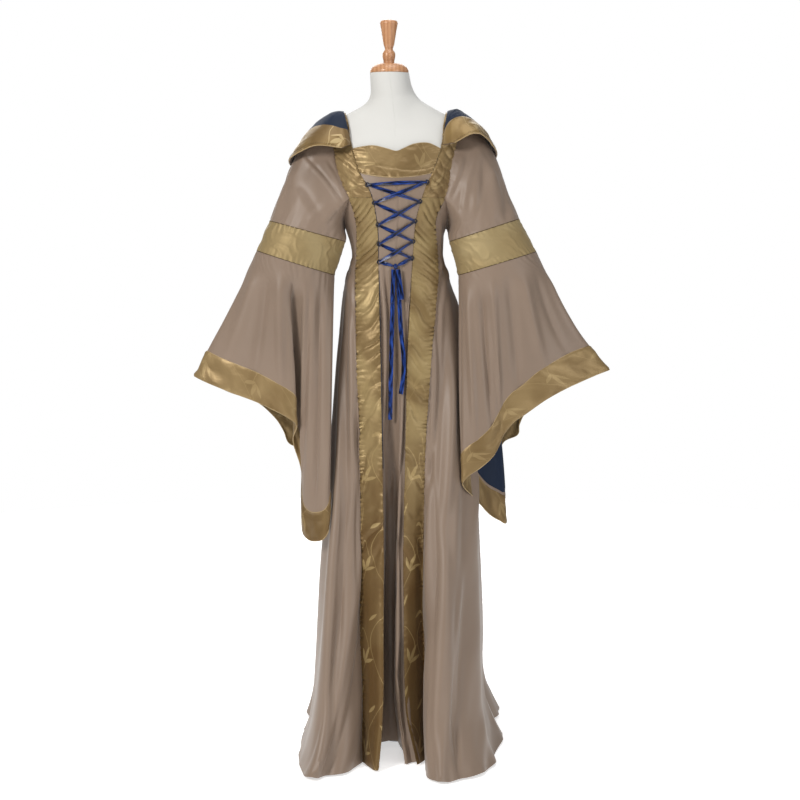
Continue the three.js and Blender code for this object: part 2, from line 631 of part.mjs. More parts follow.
function strapX(sideName, edge, station) {
  const name = edge + sideName;
  if (station.degrees === 0) return seamX(name, station.z);
  const share = station.degrees === null ? 1 : ease(station.degrees / 90);
  return mix(seamX(name, CHEST_Z), STRAP_TOP[name], share);
}

function strapPoint(x, station) {
  if (station.degrees === 0) return chestPoint(x, station.z);
  if (station.degrees !== null) return shoulderPoint(x, station.degrees);
  const ends = root((degrees) => BACK_NECK_Z + GAP / 2 - shoulderPoint(x, degrees).z, 95, 179);
  return shoulderPoint(x, ends);
}

function strapSample(x, station, next, previous) {
  const point = strapPoint(x, station);
  const across = strapPoint(x + 1, station).sub(strapPoint(x - 1, station));
  const up = strapPoint(x, next).sub(strapPoint(x, previous));
  return { point, normal: across.cross(up).normalize() };
}

function strapLine(place) {
  const stations = strapStations();
  return stations.map((station, k) => {
    const x = place(station);
    const next = stations[Math.min(k + 1, stations.length - 1)];
    const previous = stations[Math.max(k - 1, 0)];
    return strapSample(x, station, next, previous);
  });
}

function strapGrid(sideName) {
  const steps = 3;
  const grid = [];
  const toMiddle = sideName === 'Right' ? 1 : -1;
  for (let i = 0; i <= steps; i += 1) {
    const shift = i === 0 ? GAP / 2 : i === steps ? -GAP / 2 : 0;
    const place = (station) => {
      const outer = strapX(sideName, 'outer', station);
      const inner = strapX(sideName, 'inner', station);
      return mix(outer, inner, i / steps) + shift * toMiddle;
    };
    grid.push(strapLine(place));
  }
  return grid;
}

// The yoke between the straps, with its sweetheart top
const YOKE_TOP_ROWS = [
  { share: 0, z: 1370 },
  { share: 0.14, z: 1375 },
  { share: 0.25, z: 1376 },
  { share: 0.4, z: 1369 },
  { share: 0.5, z: 1364 },
  { share: 0.58, z: 1370 },
  { share: 0.7, z: 1380 },
  { share: 0.86, z: 1382 },
  { share: 1, z: 1370 },
];
const YOKE_COLUMNS = 12;

function yokeGrid() {
  const grid = [];
  const sideRows = [1316 + GAP / 2, 1334, 1352, YOKE_SIDE_Z];
  for (let i = 0; i <= YOKE_COLUMNS; i += 1) {
    const share = i / YOKE_COLUMNS;
    const shift = i === 0 ? GAP / 2 : i === YOKE_COLUMNS ? -GAP / 2 : 0;
    const top = column(YOKE_TOP_ROWS, 'share', 'z', share);
    const line = sideRows.map((sideZ, k) => {
      const x = mix(seamX('innerRight', sideZ), seamX('innerLeft', sideZ), share) + shift;
      const bottom = yokeSeam(x) + GAP / 2;
      const edge = i === 0 || i === YOKE_COLUMNS;
      const z = edge ? sideZ : mix(bottom, top, k / (sideRows.length - 1));
      return sample(chestPoint, x, z, 1, 1);
    });
    grid.push(line);
  }
  return grid;
}

// The ring of points just past the armhole's edge, from the underarm up the front and down the back
function armholeRing(side) {
  const right = side < 0;
  const frontSteps = 8;
  const ring = [];
  for (let i = 0; i < frontSteps; i += 1) {
    const forward = i / frontSteps;
    const turn = right ? 1 + forward : 6 - forward;
    const z = mix(UNDERARM_Z, BAND_TOP_Z, forward ** 1.4) + GAP / 2;
    ring.push(trunk(turn, z));
  }
  const sideName = right ? 'Right' : 'Left';
  ring.push(...strapLine((station) => strapX(sideName, 'outer', station) + (side * GAP) / 2));
  for (let k = BACK_ARMHOLE_Z.length - 2; k >= 1; k -= 1) {
    const z = BACK_ARMHOLE_Z[k];
    const edge = right ? 1 : 6;
    const backTurn = right ? edge - 1e-6 : edge + 1e-6;
    const { normal } = trunk(backTurn, z);
    const angle = column(ARMHOLE_BACK_ROWS, 'z', 'angle', z);
    const here = smoothTrunk(radians(angle) * side, z);
    const shift = (GAP * 0.75) / Math.hypot(here.x, here.y);
    ring.push({ point: smoothTrunk((radians(angle) - shift) * side, z), normal });
  }
  return ring;
}

// A point and the outward direction in the plane of an elbow ring
function elbowRing(ring, turn, slide) {
  const out = fromList(ring.out);
  const fore = fromList(ring.fore);
  const angle = 2 * Math.PI * turn;
  const point = fromList(ring.centre).addScaledVector(out, -Math.cos(angle));
  point.addScaledVector(fore, Math.sin(angle)).add(slide);
  const normal = out.clone().multiplyScalar(-Math.cos(angle) / out.lengthSq());
  normal.addScaledVector(fore, Math.sin(angle) / fore.lengthSq()).normalize();
  return { point, normal };
}

const armAxis = (arm) => fromList(arm.lower.centre).sub(fromList(arm.upper.centre)).normalize();

// How far round each point of a ring lies, by its length
function ringTurns(ring) {
  const lengths = [0];
  ring.forEach(({ point }, i) => lengths.push(lengths[i] + point.distanceTo(ring[(i + 1) % ring.length].point)));
  return lengths.slice(0, -1).map((length) => length / lengths[ring.length]);
}

function upperSleeveGrid(arm) {
  const ring = armholeRing(arm.side);
  const turns = ringTurns(ring);
  const axis = armAxis(arm);
  const slide = axis.clone().multiplyScalar(-GAP / 2);
  const middle = ring.reduce((sum, { point }) => sum.add(point), vec(0, 0, 0)).divideScalar(ring.length);
  const away = fromList(arm.upper.centre).sub(middle).normalize();
  const curves = ring.map((start, i) => {
    const end = elbowRing(arm.upper, turns[i], slide);
    const chord = start.point.distanceTo(end.point);
    const rise = start.point.clone().sub(middle).normalize();
    const leave = start.normal.clone().multiplyScalar(0.45).addScaledVector(away, 0.8).addScaledVector(rise, 0.1);
    leave.addScaledVector(vec(arm.side, 0, 0), 0.3).normalize().multiplyScalar(chord * 0.8);
    const arrive = axis.clone().multiplyScalar(chord);
    const point = (t) => {
      const h = t * t * (3 - 2 * t);
      const p = along(start.point, end.point, h);
      p.addScaledVector(leave, t * (1 - t) ** 2);
      return p.addScaledVector(arrive, -t * t * (1 - t));
    };
    return { start, end, point };
  });
  const place = (i, t) => curves[i].point(t);
  return tubeGrid(curves.length, evenShares(UPPER_SLEEVE_STEPS), place, curves, arm);
}

// A tube's grid at some shares of its length, with the normals given where it meets another piece
function tubeGrid(columns, shares, place, ends, arm) {
  const wrap = (i) => (i + columns) % columns;
  const normalAt = (i, t) => {
    if (t <= 0 && ends[i].start) return ends[i].start.normal;
    if (t >= 1 && ends[i].end) return ends[i].end.normal;
    const across = place(wrap(i + 1), t).sub(place(wrap(i - 1), t));
    const down = place(i, Math.min(1, t + 0.02)).sub(place(i, Math.max(0, t - 0.02)));
    return across.cross(down).normalize().multiplyScalar(-arm.side);
  };
  const grid = [];
  for (let i = 0; i < columns; i += 1) {
    grid.push(shares(i).map((t) => ({ point: place(i, t), normal: normalAt(i, t) })));
  }
  return grid;
}

const evenShares = (steps) => () => Array.from({ length: steps + 1 }, (_, j) => j / steps);

function elbowBandGrid(arm) {
  const columns = 28;
  const axis = armAxis(arm);
  const grid = [];
  for (let i = 0; i < columns; i += 1) {
    const top = elbowRing(arm.upper, i / columns, axis.clone().multiplyScalar(GAP / 2));
    const bottom = elbowRing(arm.lower, i / columns, axis.clone().multiplyScalar(-GAP / 2));
    grid.push([top, bottom]);
  }
  return grid;
}

// The bell from the elbow band to its hem: a line of cloth for each row of the hem's table,
// which sways sideways from the straight line on its way down
function bellSurface(arm) {
  const slide = armAxis(arm).multiplyScalar(GAP / 2);
  const lines = arm.hem.map((row) => {
    const start = elbowRing(arm.lower, row.turn, slide);
    const hem = vec(row.x, row.y, row.z);
    return { start, hem, sway: row.sway || 0, length: start.point.distanceTo(hem) };
  });
  const place = (i, share) => {
    const { start, hem, sway } = lines[i];
    const p = along(start.point, hem, share);
    p.x += sway * arm.side * Math.sin(Math.PI * clamp01(share) ** 1.2);
    return p;
  };
  return { lines, place, ends: lines.map(({ start }) => ({ start, end: null })) };
}

// The bell's cloth above the trim, or the trim itself; both end on the same line, a seam's gap apart
function bellGrid(arm, onlyTrim) {
  const { lines, place, ends } = bellSurface(arm);
  const trimFrom = (i) => 1 - CUFF_TRIM_WIDTH / lines[i].length;
  const seamPlace = (i) => place(i, trimFrom(i));
  // Where the seam runs steeply down the cloth, its ends are drawn further back to keep the gap
  const slant = (i) => {
    const down = place(i, 1).sub(place(i, 0)).normalize();
    const beside = [i + 1, i - 1].map((k) => (k + lines.length) % lines.length);
    const sines = beside.map((k) => seamPlace(k).sub(seamPlace(i)).normalize().cross(down).length());
    return Math.max(MIN_SLANT, Math.min(...sines));
  };
  const shares = (i) => {
    const half = (GAP * 0.7) / slant(i) / lines[i].length;
    if (onlyTrim) return [trimFrom(i) + half, 1];
    const end = trimFrom(i) - half;
    return Array.from({ length: BELL_STEPS + 1 }, (_, j) => (end * j) / BELL_STEPS);
  };
  return tubeGrid(lines.length, shares, place, ends, arm);
}

// The neckline the hood is sewn to: 0 at the strap's front, 1 at the centre back
function necklineSeat(side, seat) {
  const sideName = side < 0 ? 'Right' : 'Left';
  const overStrap = 0.7;
  const stations = [
    { z: 1377, degrees: 0 },
    { z: CHEST_Z, degrees: 0 },
    ...STRAP_TURN_DEG.map((degrees) => ({ z: CHEST_Z, degrees })),
    { z: CHEST_Z, degrees: null },
  ];
  if (side !== 0 && seat <= overStrap) {
    const at = Math.min((seat / overStrap) * (stations.length - 1), stations.length - 1.001);
    const k = Math.floor(at);
    const next = stations[k + 1];
    const line = [stations[k], next].map((station) => {
      const x = strapX(sideName, 'inner', station) + side * HOOD_SEAM_IN;
      return strapSample(x, station, next, stations[Math.max(0, k)]);
    });
    const point = along(line[0].point, line[1].point, at - k);
    return { point, normal: along(line[0].normal, line[1].normal, at - k).normalize() };
  }
  const from = STRAP_TOP[`inner${sideName}`];
  const x = side === 0 ? 0 : mix(from, 0, (seat - overStrap) / (1 - overStrap));
  const z = BACK_NECK_Z - 2;
  const angle = root((a) => -smoothTrunk(a, z).x + x, radians(95), radians(265));
  return sample(smoothTrunk, angle, z, 0.02, 1);
}

function hoodLines() {
  const profiles = HOOD_ROWS.map((row) => {
    const { point, normal } = necklineSeat(row.side, row.seat);
    const lift = mix(HOOD_END_LIFT, HOOD_SEAM_LIFT, clamp01(row.seat / HOOD_ROWS[1].seat));
    const seam = point.clone().addScaledVector(normal, CLOTH + lift);
    return [seam, ...row.profile.map(fromList)];
  });
  return profiles;
}

function hoodSurface() {
  const profiles = hoodLines();
  return (u, t) => spline(profiles.map((profile) => spline(profile, t)), u);
}

// One grid for all the hood's layers: rows run from the neckline to the face edge, and the facing
// starts at the row numbered HOOD_LINING_STEPS
function hoodGrid() {
  const surface = hoodSurface();
  const stations = (HOOD_ROWS.length - 1) * HOOD_STATION_STEPS;
  const grid = [];
  for (let i = 0; i <= stations; i += 1) {
    const u = i / stations;
    const length = surface(u, 0.5).distanceTo(surface(u, 1)) + surface(u, 0).distanceTo(surface(u, 0.5));
    const facing = mix(HOOD_FACING_FRONT, HOOD_FACING_BACK, Math.sin(Math.PI * u) ** 0.5);
    const split = Math.max(HOOD_LINING_SHARE, 1 - facing / length);
    const shares = [];
    for (let j = 0; j < HOOD_LINING_STEPS; j += 1) shares.push((split * j) / HOOD_LINING_STEPS);
    for (let j = 0; j <= HOOD_FACING_STEPS; j += 1) shares.push(mix(split, 1, j / HOOD_FACING_STEPS));
    grid.push(
      shares.map((t) => {
        const inside = Math.min(0.98, Math.max(0.02, t));
        const here = Math.min(0.995, Math.max(0.005, u));
        return { point: surface(u, t), normal: sample(surface, here, inside, 0.005, 0.02).normal };
      }),
    );
  }
  return grid;
}

// The rows of a grid from one to another, with an end that meets another piece drawn back a little
function rowsBetween(grid, first, last) {
  const drawn = (line, from, to) => {
    const towards = line[to].point.clone().sub(line[from].point).normalize();
    return { point: line[from].point.clone().addScaledVector(towards, GAP / 2), normal: line[from].normal };
  };
  return grid.map((line) => {
    const rows = line.slice(first, last + 1);
    if (first > 0) rows[0] = drawn(line, first, first + 1);
    if (last < line.length - 1) rows[rows.length - 1] = drawn(line, last, last - 1);
    return rows;
  });
}

// A flat ribbon along a list of points with the normals it lies against
function ribbon(path, width = RIBBON_WIDTH) {
  const sections = path.map(({ point, normal }, i) => {
    const before = path[Math.max(0, i - 1)].point;
    const after = path[Math.min(path.length - 1, i + 1)].point;
    const across = after.clone().sub(before).cross(normal).normalize();
    return { point, normal, across };
  });
  const grid = [-0.5, 0.5].map((side) =>
    sections.map(({ point, normal, across }) => ({
      point: point.clone().addScaledVector(across, side * width),
      normal,
    })),
  );
  return wall(grid, -RIBBON_THICK / 2, RIBBON_THICK / 2, false);
}

// A place in front of the centre panel, lift outside its cloth
function frontPlace(x, z, lift) {
  const turnAt = root((turn) => trunkPoint(turn, z).x - x, 2.2, 4.8);
  const { point, normal } = trunk(turnAt, z);
  return { point: point.clone().addScaledVector(normal, CLOTH + lift), normal: normal.clone() };
}

function loopPlace(row, sideName) {
  const z = sideName === 'Right' ? row.right : row.left;
  const toMiddle = sideName === 'Right' ? 1 : -1;
  return { x: seamX(`inner${sideName}`, z) + toMiddle * (LOOP_RADIUS * 0.4), z };
}

// endGap is how far from the second place the ribbon ends
function lacePath(from, to, lift, endGap = LOOP_RADIUS + LOOP_THICK + 1) {
  const steps = 6;
  const reach = Math.hypot(to.x - from.x, to.z - from.z);
  const first = (LOOP_RADIUS + LOOP_THICK + 1) / reach;
  const last = 1 - endGap / reach;
  const path = [];
  for (let i = 0; i <= steps; i += 1) {
    const t = mix(first, last, i / steps);
    path.push(frontPlace(mix(from.x, to.x, t), mix(from.z, to.z, t), lift));
  }
  return path;
}

function bowLoop({ top, bottom, lift }) {
  const depth = 2.6;
  const path = [];
  const steps = 5;
  for (let i = 0; i <= steps; i += 1) {
    const t = i / steps;
    path.push(frontPlace(mix(top[0], bottom[0], t), mix(top[1], bottom[1], t), lift + depth / 2));
  }
  const turned = frontPlace(bottom[0], bottom[1] - 2, lift);
  turned.normal = vec(0, 0, -1);
  path.push(turned);
  for (let i = steps; i >= 0; i -= 1) {
    const t = i / steps;
    const place = frontPlace(mix(top[0], bottom[0], t), mix(top[1], bottom[1], t), lift - depth / 2);
    place.normal = place.normal.clone().negate();
    path.push(place);
  }
  return ribbon(path);
}

// A hanging end along its rows, which run upwards
function hangingPath(rows) {
  const low = rows[0].z;
  const high = rows[rows.length - 1].z;
  const steps = Math.round((high - low) / TAIL_STEP);
  const path = [];
  for (let i = 0; i <= steps; i += 1) {
    const z = mix(high, low, i / steps);
    path.push(frontPlace(column(rows, 'z', 'x', z), z, column(rows, 'z', 'lift', z)));
  }
  return path;
}

// The form's covered torso and neck as rings
const FORM_RING_Z = [
  860, 900, 950, 1000, 1050, 1100, 1140, 1180, 1220, 1260, 1300, 1340, 1375, 1400, 1416, 1428, 1438,
  1447, 1455, 1463, 1472, 1484, 1500, 1520, 1540.7,
];
const FORM_COLUMNS = 24;

function formGeometry() {
  const positions = [];
  FORM_RING_Z.forEach((z) => {
    const lean = column([NECK_BOTTOM, NECK_TOP], 'z', 'x', z);
    const centre = vec(lean, column([NECK_BOTTOM, NECK_TOP], 'z', 'y', z) / 2, z);
    const wide = formReach(centre, vec(1, 0, 0), 0);
    const deep = formReach(centre, vec(0, -1, 0), 0);
    for (let i = 0; i < FORM_COLUMNS; i += 1) {
      const angle = (2 * Math.PI * i) / FORM_COLUMNS;
      const direction = vec(Math.sin(angle) * wide, -Math.cos(angle) * deep, 0).normalize();
      const p = centre.clone().addScaledVector(direction, formReach(centre, direction, 0));
      positions.push(p.x, p.y, p.z);
    }
  });
  const rings = FORM_RING_Z.length;
  const faces = [];
  const at = (ring, i) => ring * FORM_COLUMNS + (i % FORM_COLUMNS);
  for (let ring = 0; ring < rings - 1; ring += 1) {
    for (let i = 0; i < FORM_COLUMNS; i += 1) {
      faces.push(at(ring, i), at(ring, i + 1), at(ring + 1, i + 1));
      faces.push(at(ring, i), at(ring + 1, i + 1), at(ring + 1, i));
    }
  }
  for (let i = 1; i < FORM_COLUMNS - 1; i += 1) {
    faces.push(at(0, 0), at(0, i + 1), at(0, i));
    faces.push(at(rings - 1, 0), at(rings - 1, i), at(rings - 1, i + 1));
  }
  return outward(positions, faces);
}

function turned(profile, segments) {
  const points = profile.map(([radius, height]) => new THREE.Vector2(radius, height));
  const geometry = new THREE.LatheGeometry(points, segments);
  return geometry.rotateX(Math.PI / 2);
}

// A leg lies flat on the floor and gets thinner towards its foot
function legGeometry() {
  const outline = new THREE.Shape();
  outline.moveTo(HUB_RADIUS + GAP, 0);
  outline.lineTo(LEG_REACH, 0);
  outline.lineTo(LEG_REACH, 12);
  outline.lineTo(HUB_RADIUS + 20, HUB_HEIGHT - 6);
  outline.lineTo(HUB_RADIUS + GAP, HUB_HEIGHT - 4);
  outline.closePath();
  const geometry = new THREE.ExtrudeGeometry(outline, { depth: LEG_WIDTH, bevelEnabled: false, steps: 1 });
  return geometry.translate(0, 0, -LEG_WIDTH / 2).rotateX(Math.PI / 2);
}

// The whole object
const gown = new THREE.Group();
gown.name = 'medieval_gown_on_dress_form';

function material(colour, roughness, metalness = 0) {
  return new THREE.MeshStandardMaterial({ color: colour, roughness, metalness, side: THREE.DoubleSide });
}

const MATERIALS = {
  taupe: material(COLOURS.taupe, 0.6),
  gold: material(COLOURS.gold, 0.35),
  navy: material(COLOURS.navy, 0.6),
  ribbon: material(COLOURS.ribbon, 0.35),
  loop: material(COLOURS.loop, 0.7),
  cover: material(COLOURS.cover, 0.85),
  wood: material(COLOURS.wood, 0.45),
  metal: material(COLOURS.metal, 0.4, 0.8),
};

function add(name, geometry, cloth) {
  const clean = geometry.clone();
  clean.deleteAttribute('normal');
  if (clean.attributes.uv) clean.deleteAttribute('uv');
  const merged = BufferGeometryUtils.mergeVertices(clean, 1e-4);
  const mesh = new THREE.Mesh(merged, MATERIALS[cloth].clone());
  mesh.name = name;
  gown.add(mesh);
  return mesh;
}

function buildTrunk() {
  add('back_right', wall(trunkGrid(0, 1, 10, backHeights), 0, CLOTH, false), 'taupe');
  add('side_front_right', wall(trunkGrid(1, 2, 8, sideFrontHeights(1)), 0, CLOTH, false), 'taupe');
  add('front_band_right', wall(trunkGrid(2, 3, 3, bandHeights), 0, CLOTH, false), 'gold');
  add('front_centre', wall(trunkGrid(3, 4, 12, centreHeights), 0, CLOTH, false), 'taupe');
  add('front_band_left', wall(trunkGrid(4, 5, 3, bandHeights), 0, CLOTH, false), 'gold');
  add('side_front_left', wall(trunkGrid(5, 6, 8, sideFrontHeights(5)), 0, CLOTH, false), 'taupe');
  add('back_left', wall(trunkGrid(6, 7, 10, backHeights), 0, CLOTH, false), 'taupe');
  add('strap_right', wall(strapGrid('Right'), 0, CLOTH, false), 'gold');
  add('strap_left', wall(strapGrid('Left'), 0, CLOTH, false), 'gold');
  add('yoke', wall(yokeGrid(), 0, CLOTH, false), 'gold');
}

function buildSleeve(name) {
  const arm = ARMS[name];
  add(`upper_sleeve_${name}`, wall(upperSleeveGrid(arm), 0, CLOTH, true), 'taupe');
  add(`elbow_band_${name}`, wall(elbowBandGrid(arm), 0, CLOTH, true), 'gold');
  const cloth = bellGrid(arm, false);
  add(`bell_${name}`, wall(cloth, 0, CLOTH, true), 'taupe');
  add(`bell_lining_${name}`, wall(cloth, -GAP - LINING, -GAP, true), 'navy');
  add(`cuff_trim_${name}`, wall(bellGrid(arm, true), -GAP, CLOTH, true), 'gold');
}

function buildHood() {
  const grid = hoodGrid();
  const last = HOOD_LINING_STEPS + HOOD_FACING_STEPS;
  add('hood_shell', wall(grid, -CLOTH, 0, false), 'taupe');
  add('hood_lining', wall(rowsBetween(grid, 0, HOOD_LINING_STEPS), GAP, GAP + LINING, false), 'navy');
  add('hood_facing', wall(rowsBetween(grid, HOOD_LINING_STEPS, last), GAP, GAP + LINING, false), 'gold');
}

function buildLacing() {
  const places = LOOP_ROWS.map((row) => ({ right: loopPlace(row, 'Right'), left: loopPlace(row, 'Left') }));
  places.forEach((pair, k) => {
    ['right', 'left'].forEach((name) => {
      const { point, normal } = frontPlace(pair[name].x, pair[name].z, LOOP_ROWS[k].lift);
      const geometry = new THREE.TorusGeometry(LOOP_RADIUS, LOOP_THICK, 5, 9);
      const mesh = add(`lace_loop_${name}_${k + 1}`, geometry, 'loop');
      mesh.quaternion.setFromUnitVectors(vec(0, 0, 1), normal);
      mesh.position.copy(point);
    });
  });
  add('lace_top', ribbon(lacePath(places[0].right, places[0].left, LACE_TOP)), 'ribbon');
  for (let k = 0; k < places.length - 1; k += 1) {
    const upper = places[k];
    const lower = places[k + 1];
    add(`lace_under_${k + 1}`, ribbon(lacePath(upper.right, lower.left, LACE_LOW)), 'ribbon');
    add(`lace_over_${k + 1}`, ribbon(lacePath(upper.left, lower.right, LACE_HIGH)), 'ribbon');
  }
  const last = places[places.length - 1];
  add('lace_to_knot_right', ribbon(lacePath(last.right, KNOT, LACE_LOW, KNOT_END_GAP)), 'ribbon');
  add('lace_to_knot_left', ribbon(lacePath(last.left, KNOT, LACE_HIGH, KNOT_END_GAP)), 'ribbon');
  const knotPlace = frontPlace(KNOT.x, KNOT.z, KNOT_LIFT);
  const knotMesh = add('lace_knot', new THREE.SphereGeometry(1, 10, 6), 'ribbon');
  knotMesh.scale.set(...KNOT_RADII);
  knotMesh.position.copy(knotPlace.point);
  add('lace_bow_right', bowLoop(BOW_LOOPS.right), 'ribbon');
  add('lace_bow_left', bowLoop(BOW_LOOPS.left), 'ribbon');
  add('lace_end_right', ribbon(hangingPath(TAIL_RIGHT)), 'ribbon');
  add('lace_end_left', ribbon(hangingPath(TAIL_LEFT)), 'ribbon');
}

function buildForm() {
  add('form_torso', formGeometry(), 'cover');
  const cap = add('form_cap', turned(CAP_PROFILE, 20), 'wood');
  cap.position.set(NECK_TOP.x, NECK_TOP.y, NECK_TOP.z);
  const finial = add('form_finial', turned(FINIAL_PROFILE, 14), 'wood');
  finial.position.set(NECK_TOP.x - 1, NECK_TOP.y, NECK_TOP.z + 20 + GAP);
  const poleHeight = FORM_RING_Z[0] - HUB_HEIGHT - 2 * GAP;
  const pole = new THREE.CylinderGeometry(POLE_RADIUS, POLE_RADIUS, poleHeight, 16).rotateX(Math.PI / 2);
  add('stand_pole', pole, 'metal').position.set(0, 0, HUB_HEIGHT + GAP + poleHeight / 2);
  const hub = new THREE.CylinderGeometry(HUB_RADIUS, HUB_RADIUS, HUB_HEIGHT, 24).rotateX(Math.PI / 2);
  add('stand_hub', hub, 'metal').position.set(0, 0, HUB_HEIGHT / 2);
  LEG_ANGLES_DEG.forEach((degrees, k) => {
    const leg = add(`stand_leg_${k + 1}`, legGeometry(), 'metal');
    leg.rotation.z = radians(degrees - 90);
  });
}

buildTrunk();
buildSleeve('right');
buildSleeve('left');
buildHood();
buildLacing();
buildForm();

export default gown;
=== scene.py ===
import math

import bpy
import numpy as np
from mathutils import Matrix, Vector


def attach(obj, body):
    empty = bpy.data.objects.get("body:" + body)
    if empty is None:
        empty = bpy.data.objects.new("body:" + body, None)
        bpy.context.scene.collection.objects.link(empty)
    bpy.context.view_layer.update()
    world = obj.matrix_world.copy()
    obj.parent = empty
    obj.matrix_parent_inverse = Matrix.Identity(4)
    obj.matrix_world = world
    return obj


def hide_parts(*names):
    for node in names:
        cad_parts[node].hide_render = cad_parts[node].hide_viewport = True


# A medieval style gown on a limbless dress form. Sizes are millimetres until a mesh is made.
# Sides are the wearer's: right is at -X and left is at +X. The front faces -Y.
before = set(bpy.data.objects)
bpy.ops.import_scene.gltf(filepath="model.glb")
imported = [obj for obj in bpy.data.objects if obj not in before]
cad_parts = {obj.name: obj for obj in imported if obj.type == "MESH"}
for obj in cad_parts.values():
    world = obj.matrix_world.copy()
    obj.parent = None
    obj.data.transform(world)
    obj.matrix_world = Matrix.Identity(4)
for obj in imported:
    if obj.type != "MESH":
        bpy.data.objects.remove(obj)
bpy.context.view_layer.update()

MM = 0.001
# How thick the satin and the lining are drawn, and the gap between pieces at a seam
CLOTH = 1.5
LINING = 1.0
GAP = 0.3
FORM_CLEARANCE = 3.4
# Below this height the section turns more and more into the hem's own line
FOLD_TOP = 900
FOLD_GROWTH = 1.3
HEM_Z = 4
# Between these two heights the skirt's sections turn into the form's skin
BODY_FROM = 1125
BODY_FULL = 1170
UNDERARM_Z = 1195
BAND_TOP_Z = 1262
YOKE_BOTTOM_Z = 1306
YOKE_SIDE_Z = 1370
YOKE_ARCH = 10
YOKE_HALF_WIDTH = 78
CHEST_Z = 1400
BACK_NECK_Z = 1432
SIDE_SEAM_DEG = 95
# How slowly the armhole leaves the underarm toward the front
ARMHOLE_RISE = 1.4
CUFF_TRIM_WIDTH = 65
HOOD_FACING_FRONT = 80
HOOD_FACING_BACK = 62
HOOD_LINING_SHARE = 0.2
RIBBON_WIDTH = 9.5
RIBBON_THICK = 0.6


def table(heads, *rows):
    """Rows of numbers under the heads' names."""
    columns = np.array(rows, float).T
    return dict(zip(heads.split(), columns))


# The gown's half widths and depths, and how square its section is
GOWN_ROWS = table(
    "z right left front back power",
    (4, 214, 240, 262, 345, 2.1), (44, 199, 221, 252, 330, 2.1), (100, 186, 201, 240, 315, 2.1),
    (160, 178, 195, 228, 300, 2.1), (312, 170, 194, 198, 262, 2.1), (463, 161, 190, 170, 222, 2.1),
    (614, 148, 184, 146, 182, 2.1), (760, 140, 176, 124, 150, 2.1), (874, 133, 165, 108, 128, 2.2),
    (947, 128, 154, 98, 118, 2.2), (1021, 123, 139, 87, 106, 2.2), (1057, 118, 126, 80, 98, 2.2),
    (1094, 109, 115, 77, 87, 2.2), (1130, 99, 103, 77, 79, 2.2), (1180, 108, 110, 94, 86, 2.2),
)

# Where the four long seams of the front run, as x at each height
SEAM_ROWS = table(
    "z outerRight innerRight innerLeft outerLeft",
    (4, -77, -40, 46, 73), (127, -78, -29, 22, 69), (319, -80, -28, 17, 63), (478, -80, -27, 16, 62),
    (720, -81, -31, 21, 67), (902, -88, -34, 25, 79), (1077, -91, -38, 34, 94),
    (1128, -88, -39, 37, 92), (1190, -87, -40, 41, 88), (1222, -91, -44, 46, 91),
    (1262, -104, -52, 57, 109), (1290, -118, -64, 67, 117), (1322, -130, -82, 83, 121),
    (1370, -139, -96, 99, 132), (1400, -144, -103, 104, 140),
)

# The hem's line; turn counts the panels from the centre back round by the wearer's right
HEM_ROWS = table(
    "turn x y z",
    (0.0, 0, 396, 4), (0.1, -40, 402, 4), (0.2, -78, 378, 4), (0.3, -120, 376, 4), (0.4, -147, 332, 4),
    (0.5, -184, 308, 4), (0.6, -192, 250, 4), (0.7, -214, 206, 4), (0.8, -209, 146, 4),
    (0.9, -219, 86, 4), (1.0, -213, 25, 4), (1.1, -217, -50, 4), (1.2, -214, -130, 4),
    (1.3, -213, -215, 4), (1.4, -202, -282, 4), (1.5, -180, -302, 4), (1.6, -156, -284, 4),
    (1.7, -132, -277, 4), (1.8, -110, -258, 4), (1.9, -91, -220, 4), (2.0, -77, -189, 4),
    (2.5, -60, -220, 4), (3.0, -40, -247, 4), (3 + 1 / 12, -37, -190, 6), (3 + 2 / 12, -35, -132, 12),
    (3 + 3 / 12, -33, -90, 16), (3 + 4 / 12, -21, -78, 17), (3 + 5 / 12, -6, -75, 17),
    (3 + 6 / 12, 5, -84, 16), (3 + 7 / 12, 7, -130, 12), (3 + 8 / 12, 7, -174, 6),
    (3 + 9 / 12, 14, -203, 4), (3 + 10 / 12, 27, -205, 4), (3 + 11 / 12, 39, -196, 4),
    (4.0, 46, -207, 4), (4.5, 61, -182, 4), (5.0, 73, -154, 4), (5.1, 73, -215, 4), (5.2, 75, -280, 4),
    (5.3, 89, -321, 4), (5.4, 114, -327, 4), (5.5, 140, -306, 4), (5.6, 165, -292, 4),
    (5.7, 194, -258, 4), (5.8, 219, -197, 4), (5.9, 229, -125, 4), (6.0, 249, -8, 4),
    (6.1, 239, 50, 4), (6.2, 229, 115, 4), (6.3, 251, 190, 4), (6.4, 257, 262, 4), (6.5, 219, 312, 4),
    (6.6, 190, 368, 4), (6.7, 145, 374, 4), (6.8, 106, 404, 4), (6.9, 50, 384, 4), (7.0, 0, 396, 4),
)

# The armhole's back edge, in degrees from the front
ARMHOLE_BACK_ROWS = table(
    "z angle",
    (1195, 95), (1222, 103), (1252, 110), (1285, 115), (1320, 116.5), (1355, 115), (1388, 111),
    (1412, 107), (1432, 102),
)

# The dress form's half widths and depths
FORM_ROWS = table(
    "z side front back",
    (860, 112, 80, 92), (900, 116, 84, 98), (950, 113, 82, 96), (1000, 103, 76, 86),
    (1050, 95, 70, 76), (1100, 91, 68, 72), (1130, 94, 72, 74), (1180, 104, 88, 80),
    (1230, 122, 104, 88), (1270, 134, 112, 94), (1310, 142, 106, 97), (1350, 148, 92, 97),
    (1390, 146, 76, 90), (1420, 128, 58, 78), (1450, 92, 42, 62), (1480, 50, 30, 40),
)

# The yoke's heart-shaped upper edge
YOKE_TOP_ROWS = table(
    "share z",
    (0, 1370), (0.14, 1375), (0.25, 1376), (0.4, 1369), (0.5, 1364), (0.58, 1370), (0.7, 1380),
    (0.86, 1382), (1, 1370),
)

